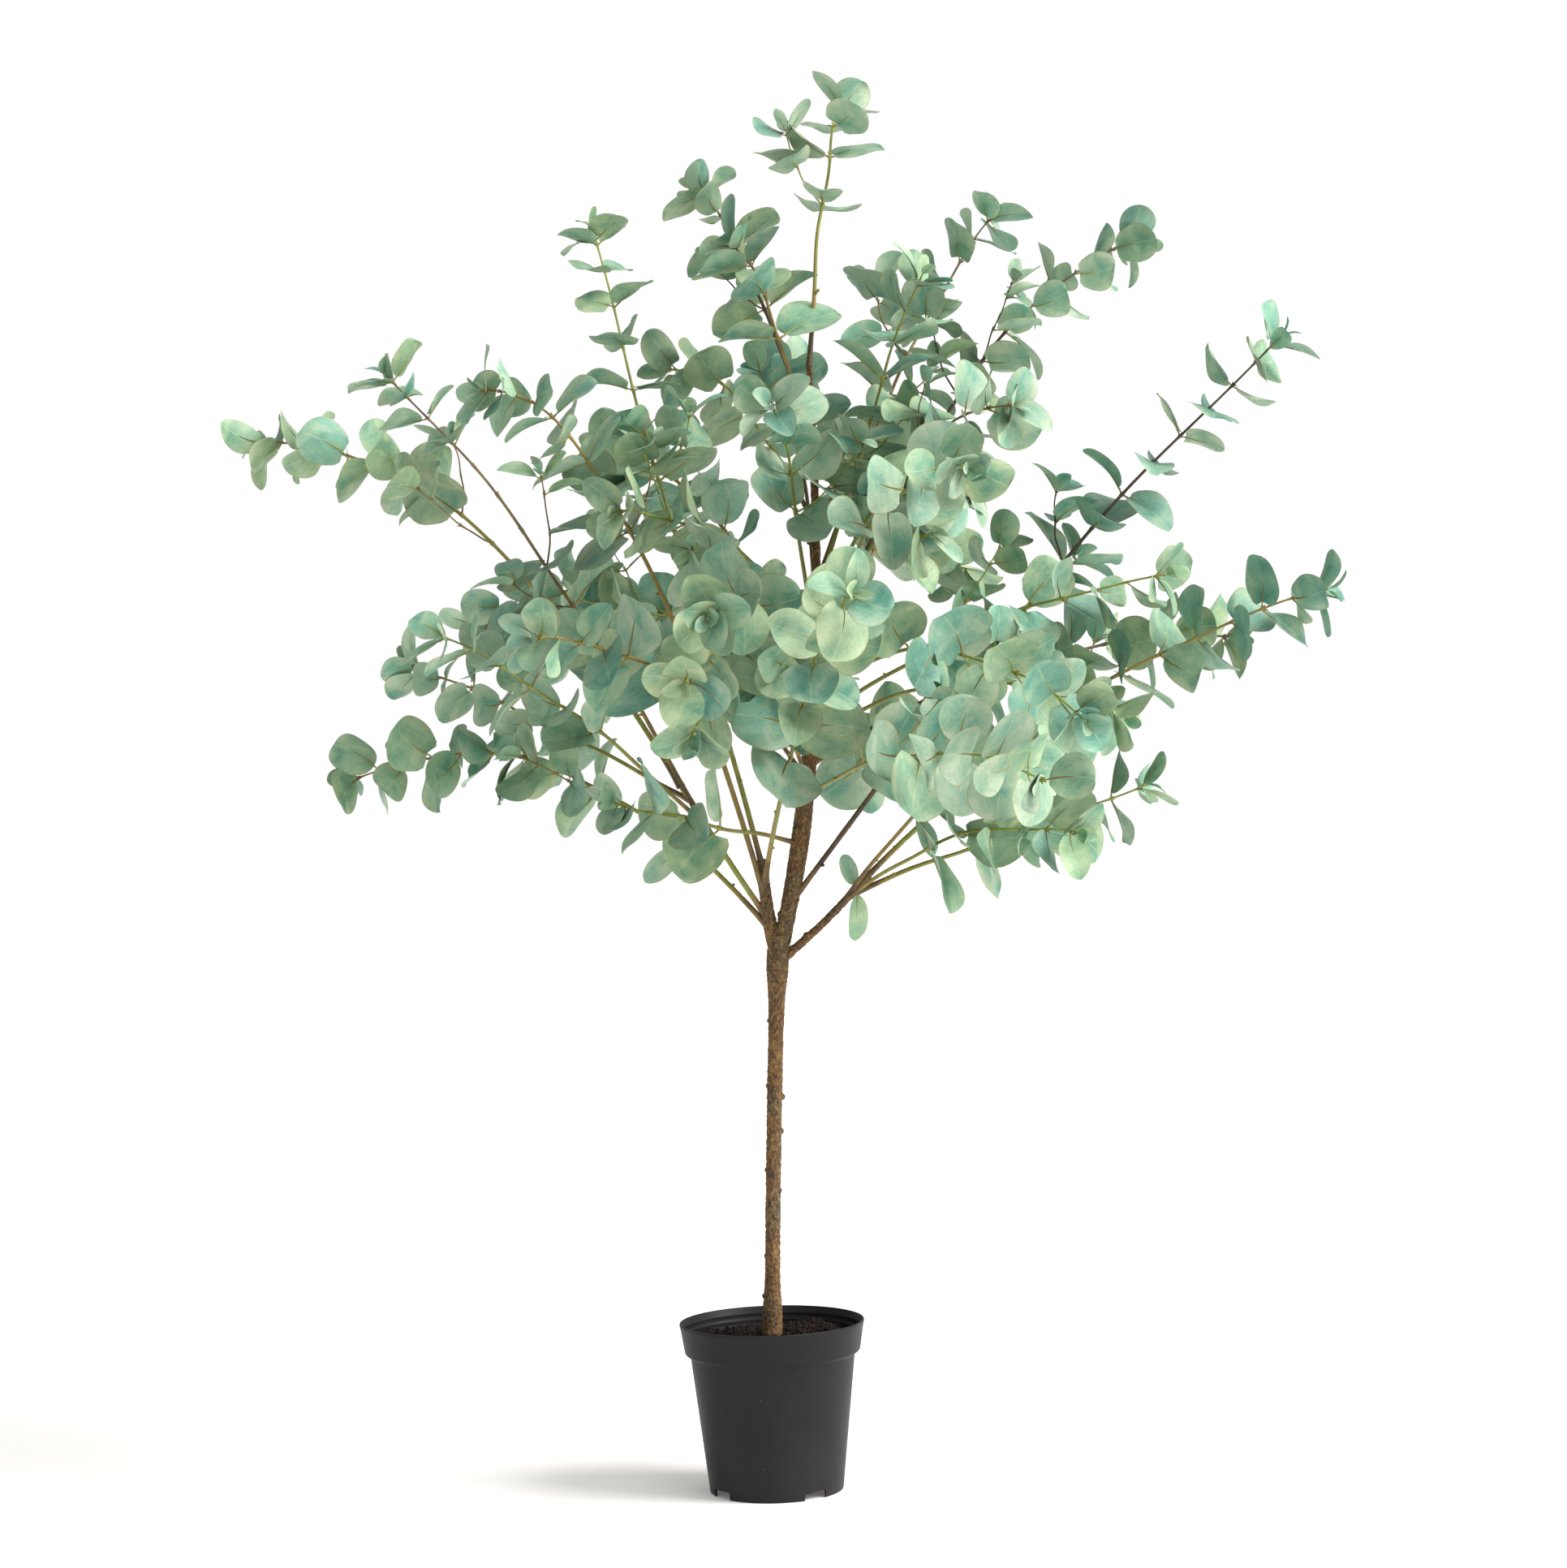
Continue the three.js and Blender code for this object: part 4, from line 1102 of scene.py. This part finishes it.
def boughChains():
    limb = limbTable[oliveLimb]
    shares, places, thick = tapered(limbPaths[oliveLimb], 0, 1, chainSpacing, *limb["radii"])
    yield places, thick * mm, np.interp(shares, *twigs["oliveLimbTones"])
    for spray in sprays:
        path = spray["path"]
        if spray["boughShare"]:
            shares, places, thick = tapered(path, 0, spray["boughShare"], chainSpacing,
                                            boughRadii["root"], boughRadii["tip"])
            thick = thick * (1 + (boughRadii["collar"] - 1) * swollen(path, shares))
            yield places, thick, stemTones(spray, shares)


def stemChains():
    # the leafy stems, from the end of each bough or from the limb to the tip
    for spray in sprays:
        path, start = spray["path"], spray["boughShare"]
        foot = boughRadii["tip"] if start else stemRadii["root"]
        shares, places, thick = tapered(path, start, 1, skins["twig"]["Step"], foot, stemRadii["tip"])
        if not start:
            thick = thick * (1 + twigs["swell"] * swollen(path, shares))
        yield places, knobbed(path, shares, thick, spray["marks"]), stemTones(spray, shares)


def shootChains():
    for spray in sprays:
        for path, marks in spray["shoots"]:
            shares, places, thick = tapered(path, 0, 1, skins["shoot"]["Step"],
                                            stemRadii["shoot"], stemRadii["shootTip"])
            tones = [twigTone(spray["name"])[1]] * len(shares)
            yield places, knobbed(path, shares, thick, marks), tones


wrap = wrapTree()


def wrapPiece(name, skin, slot, chains, material, *nodes):
    piece = grown(name, chainMesh(name + "Paths", chains), wrap, Material=material, **skins[skin])
    settle(piece, slot, *nodes)


wrapPiece("trunkAndLimbBark", "bark", "bark", limbChains(), barkMaterial("mouldedBark", barkColours),
          *[name for name in limbTable if name != oliveLimb])
wrapPiece("boughBark", "bough", "bough", boughChains(),
          twigMaterial("boughPolyethylene", twigs["colours"]),
          oliveLimb, *["bough_" + s["name"] for s in sprays if s["boughShare"]])
wrapPiece("leafyStems", "twig", "bough", stemChains(),
          twigMaterial("twigPolyethylene", twigs["colours"]), *["spray_" + s["name"] for s in sprays])
wrapPiece("sideShoots", "shoot", "bough", shootChains(),
          twigMaterial("shootPolyethylene", twigs["colours"]))

setOut = setOutTree()


def setOutPiece(name, slot, places, shapes, material):
    piece = grown(name, placesMesh(name + "Places", places), setOut, Shapes=shapes, Material=material)
    settle(piece, slot)


def spurPlaces():
    # a pair of pointed bracts under each pair of leaves, and cut stubs on the bare stretches
    dice = Dice(404)
    places = []
    bract, stub = 0, 1

    def add(path, share, splay, size, shape, tone):
        tangent = path.tangent(share)
        side = sideways(tangent, dice.between(0, 360))
        for way in (side, -side) if shape == bract else (side,):
            along = unit(tangent * math.cos(splay) + way * math.sin(splay))
            places.append({
                "place": path.point(share), "along": along, "face": unit(np.cross(along, way)),
                "size": size * dice.between(0.7, 1.3), "tone": tone, "shape": shape,
            })

    for spray in sprays:
        low, high = twigTone(spray["name"])
        path = spray["path"]
        for mark in spray["marks"]:
            add(path, mark, twigs["bractSplay"], twigs["bract"], bract, high)
        for shoot, marks in spray["shoots"]:
            for mark in marks:
                add(shoot, mark, twigs["bractSplay"], twigs["bract"] * 0.8, bract, high)
        step = twigs["stubSpacing"] / path.length
        for i in range(1, int(spray["bareShare"] / step)):
            add(path, i * step, twigs["stubSplay"], twigs["stub"], stub, low)
    return places


spurShapes = shapeSet("spur", [
    spindle("bract", [((0, 0, 0), 0.13), ((0.3, 0, 0), 0.17), ((0.65, 0, 0), 0.11)], (1, 0, 0), 6),
    spindle("stub", [((0, 0, 0), 0.3), ((0.4, 0, 0), 0.2), ((0.9, 0, 0), 0.2)], (0.95, 0, 0), 7),
])
setOutPiece("bractsAndStubs", "bough", spurPlaces(), spurShapes,
            twigMaterial("spurPolyethylene", twigs["colours"]))
dropShapes(spurShapes)

# The leaves: blades of printed cloth, one thickness, on moulded stalks, in five tints
blade = {
    "stations": 13, "columns": (-1, -0.52, 0, 0.52, 1),
    "lineColours": ("#b9c79c", "#96925c"),  # the midrib, the singed edge
}
stalk = {
    "sides": 5, "foot": 0.022, "neck": 0.017, "neckPlace": -0.05, "thinning": 0.2,
    "ribEnds": (0.12, 0.28, 0.42), "ribTip": 0.56, "colours": ("#6c5a2a", "#7f7634", "#98944a"),
}
leafTints = {  # main colour, darker wash, paler wash
    "sage": ("#87ab8c", "#418572", "#c5ceaa"),
    "green": ("#85a785", "#41816a", "#c0caa2"),
    "pale": ("#98b497", "#539784", "#d1d8bc"),
    "olive": ("#8da882", "#49836d", "#c4cba4"),
    "blue": ("#7aa790", "#388274", "#bccaab"),
}
anyTintShare = 0.45


def bladePoint(form, u, side):
    # a place on the blade: u runs from the stalk (0) to the tip (1), side from -1 to 1 across it
    width, widest, lobe, point, cup, fold, curl, twist, ripple, bend = form
    x = ((1 - math.cos(math.pi * u)) / 2) ** widest + point * u ** 12
    x -= lobe * math.exp(-((u - 0.17) / 0.1) ** 2) * abs(side)
    across = width / 2 * math.sin(math.pi * u) ** 0.92 * side
    wave = ripple * math.sin(9 * u + 2 * side + 20 * width) * side ** 2
    lift = cup * 2 * across ** 2 / width + fold * abs(across) + curl * x * x + twist * x * across
    return x, across + bend * math.sin(math.pi * u), lift + wave


def bladeMesh(number, form):
    # a cloth blade, one unit long from its base at the origin along +X, facing +Z
    points, places, faces = [], [], []

    def add(u, side):
        points.append(bladePoint(form, u, side))
        places.append((u, abs(side)))
        return len(points) - 1

    base, tip = add(0, 0), add(1, 0)
    marks = [(k + 1) / (blade["stations"] + 1) for k in range(blade["stations"])]
    lines = [[add(u, side) for side in blade["columns"]] for u in marks]
    for j in range(len(blade["columns"]) - 1):
        faces.append((base, lines[0][j], lines[0][j + 1]))
        faces.append((tip, lines[-1][j + 1], lines[-1][j]))
        for low, high in zip(lines, lines[1:]):
            faces.append((low[j], high[j], high[j + 1], low[j + 1]))
    mesh = newMesh(f"blade{number}", points, [], faces)
    layer = mesh.uv_layers.new(name="leafPlace")
    for loop in mesh.loops:
        layer.data[loop.index].uv = places[loop.vertex_index]
    return mesh


def stalkMesh(number, form):
    # the moulded stalk: from the twig to the blade, then on along the midrib, thinning out
    rings = [((-leafStalk, 0, 0), stalk["foot"]), ((stalk["neckPlace"], 0, 0), stalk["neck"])]
    for i, u in enumerate(stalk["ribEnds"]):
        rings.append((bladePoint(form, u, 0), stalk["foot"] * (1 - stalk["thinning"] * i)))
    return spindle(f"stalk{number}", rings, bladePoint(form, stalk["ribTip"], 0), stalk["sides"])


def dealLeaves():
    # each spray has its own main tint, and one leaf in three takes another
    dice = Dice(77)
    names = list(leafTints)
    sprayTint = [int(dice.between(0, len(names))) for _ in sprays]
    dealt = {name: [] for name in names}
    for leaf in crown.leaves:
        mine = sprayTint[leaf["spray"]]
        if dice.between(0, 1) < anyTintShare:
            mine = int(dice.between(0, len(names)))
        dealt[names[mine]].append({
            "place": leaf["root"] + leaf["along"] * leafStalk * leaf["length"],
            "along": leaf["along"], "face": leaf["face"], "size": leaf["length"],
            "tone": dice.between(0, 1), "shape": leaf["shape"],
        })
    return dealt


dealt = dealLeaves()
bladeShapes = shapeSet("blade", [bladeMesh(i, form) for i, form in enumerate(leafForms)])
for tint, places in dealt.items():
    setOutPiece(tint + "Leaves", "leaf", places, bladeShapes,
                leafMaterial("printedCloth_" + tint, *map(linear, leafTints[tint])))
dropShapes(bladeShapes)
stalkShapes = shapeSet("stalk", [stalkMesh(i, form) for i, form in enumerate(leafForms)])
setOutPiece("leafStalks", "leaf", [place for places in dealt.values() for place in places], stalkShapes,
            twigMaterial("stalkPolyethylene", stalk["colours"]))
dropShapes(stalkShapes)

# Floor, light and camera
stage = {
    "floorRadius": 40000, "floorHeight": -0.2, "floorColour": "#fbf8f5", "floorGlow": "#fffdfa",
    "floorGlowStrength": 0.1, "leftFill": 0.36, "rightFill": 0.95,
    "sunWay": (-3.2, 1.1, -2.6), "sunStrength": 3.75, "sunSpread": 32,
    "softboxPlace": (2.0, -2.8, 1.8), "softboxWay": (-2.0, 2.8, -1.1), "softboxSize": 1.6,
    "softboxPower": 22,
}


def buildFloor():
    rim = [(0, stage["floorHeight"]), (stage["floorRadius"], stage["floorHeight"])]
    floor = placed("paleFloor", turnedMesh("floorDisc", rim, 96))
    material, tree = newMaterial("whitePaintedFloor")[:2]
    shader = addNode(tree, "ShaderNodeBsdfPrincipled", {
        "Base Color": linear(stage["floorColour"]), "Roughness": 0.9, "Specular IOR Level": 0.1,
        "Emission Color": linear(stage["floorGlow"]), "Emission Strength": stage["floorGlowStrength"],
    })
    addNode(tree, "ShaderNodeOutputMaterial", {0: shader})
    floor.data.materials.append(material)


def addLight(name, kind, place, way, power, **settings):
    data = bpy.data.lights.new(name, kind)
    data.energy = power
    for key, value in settings.items():
        setattr(data, key, value)
    light = placed(name, data)
    light.location = place
    light.rotation_euler = Vector(way).to_track_quat("-Z", "Y").to_euler()


def buildWorld():
    # seen as pure white, while less light comes from the left than from the right
    world = bpy.data.worlds.new("studioWhite")
    world.use_nodes = True
    tree = world.node_tree
    rays = addNode(tree, "ShaderNodeLightPath")
    way = addNode(tree, "ShaderNodeTexCoord")
    across = addNode(tree, "ShaderNodeSeparateXYZ", {0: way.outputs["Generated"]})
    fill = addNode(tree, "ShaderNodeMapRange", {
        0: across, 1: -1.0, 3: stage["leftFill"], 4: stage["rightFill"],
    })
    seen = addNode(tree, "ShaderNodeMath", {0: rays.outputs["Is Camera Ray"], 1: fill},
                   operation="MAXIMUM")
    background = tree.nodes["Background"]
    background.inputs[0].default_value = (1.0, 1.0, 1.0, 1)
    tree.links.new(seen.outputs[0], background.inputs[1])
    bpy.context.scene.world = world


def addCamera():
    camera = bpy.data.cameras.new("front")
    camera.lens = view["lens"]
    camera.sensor_width = view["sensor"]
    eye = placed("front", camera)
    upright = Matrix.Rotation(math.radians(90), 4, "X")
    roll = Matrix.Rotation(math.radians(-view["roll"]), 4, "Z")
    place = Matrix.Translation((view["centreX"], -view["distance"], view["height"]))
    eye.matrix_world = place @ upright @ roll
    bpy.context.scene.camera = eye


buildFloor()
buildWorld()
addLight("wideKey", "SUN", (0, 0, 0), stage["sunWay"], stage["sunStrength"],
         angle=math.radians(stage["sunSpread"]))
addLight("frontSoftbox", "AREA", stage["softboxPlace"], stage["softboxWay"], stage["softboxPower"],
         shape="DISK", size=stage["softboxSize"])
addCamera()
bpy.context.scene.view_settings.view_transform = "Standard"
bpy.context.scene.view_settings.look = "None"
print("stage set")
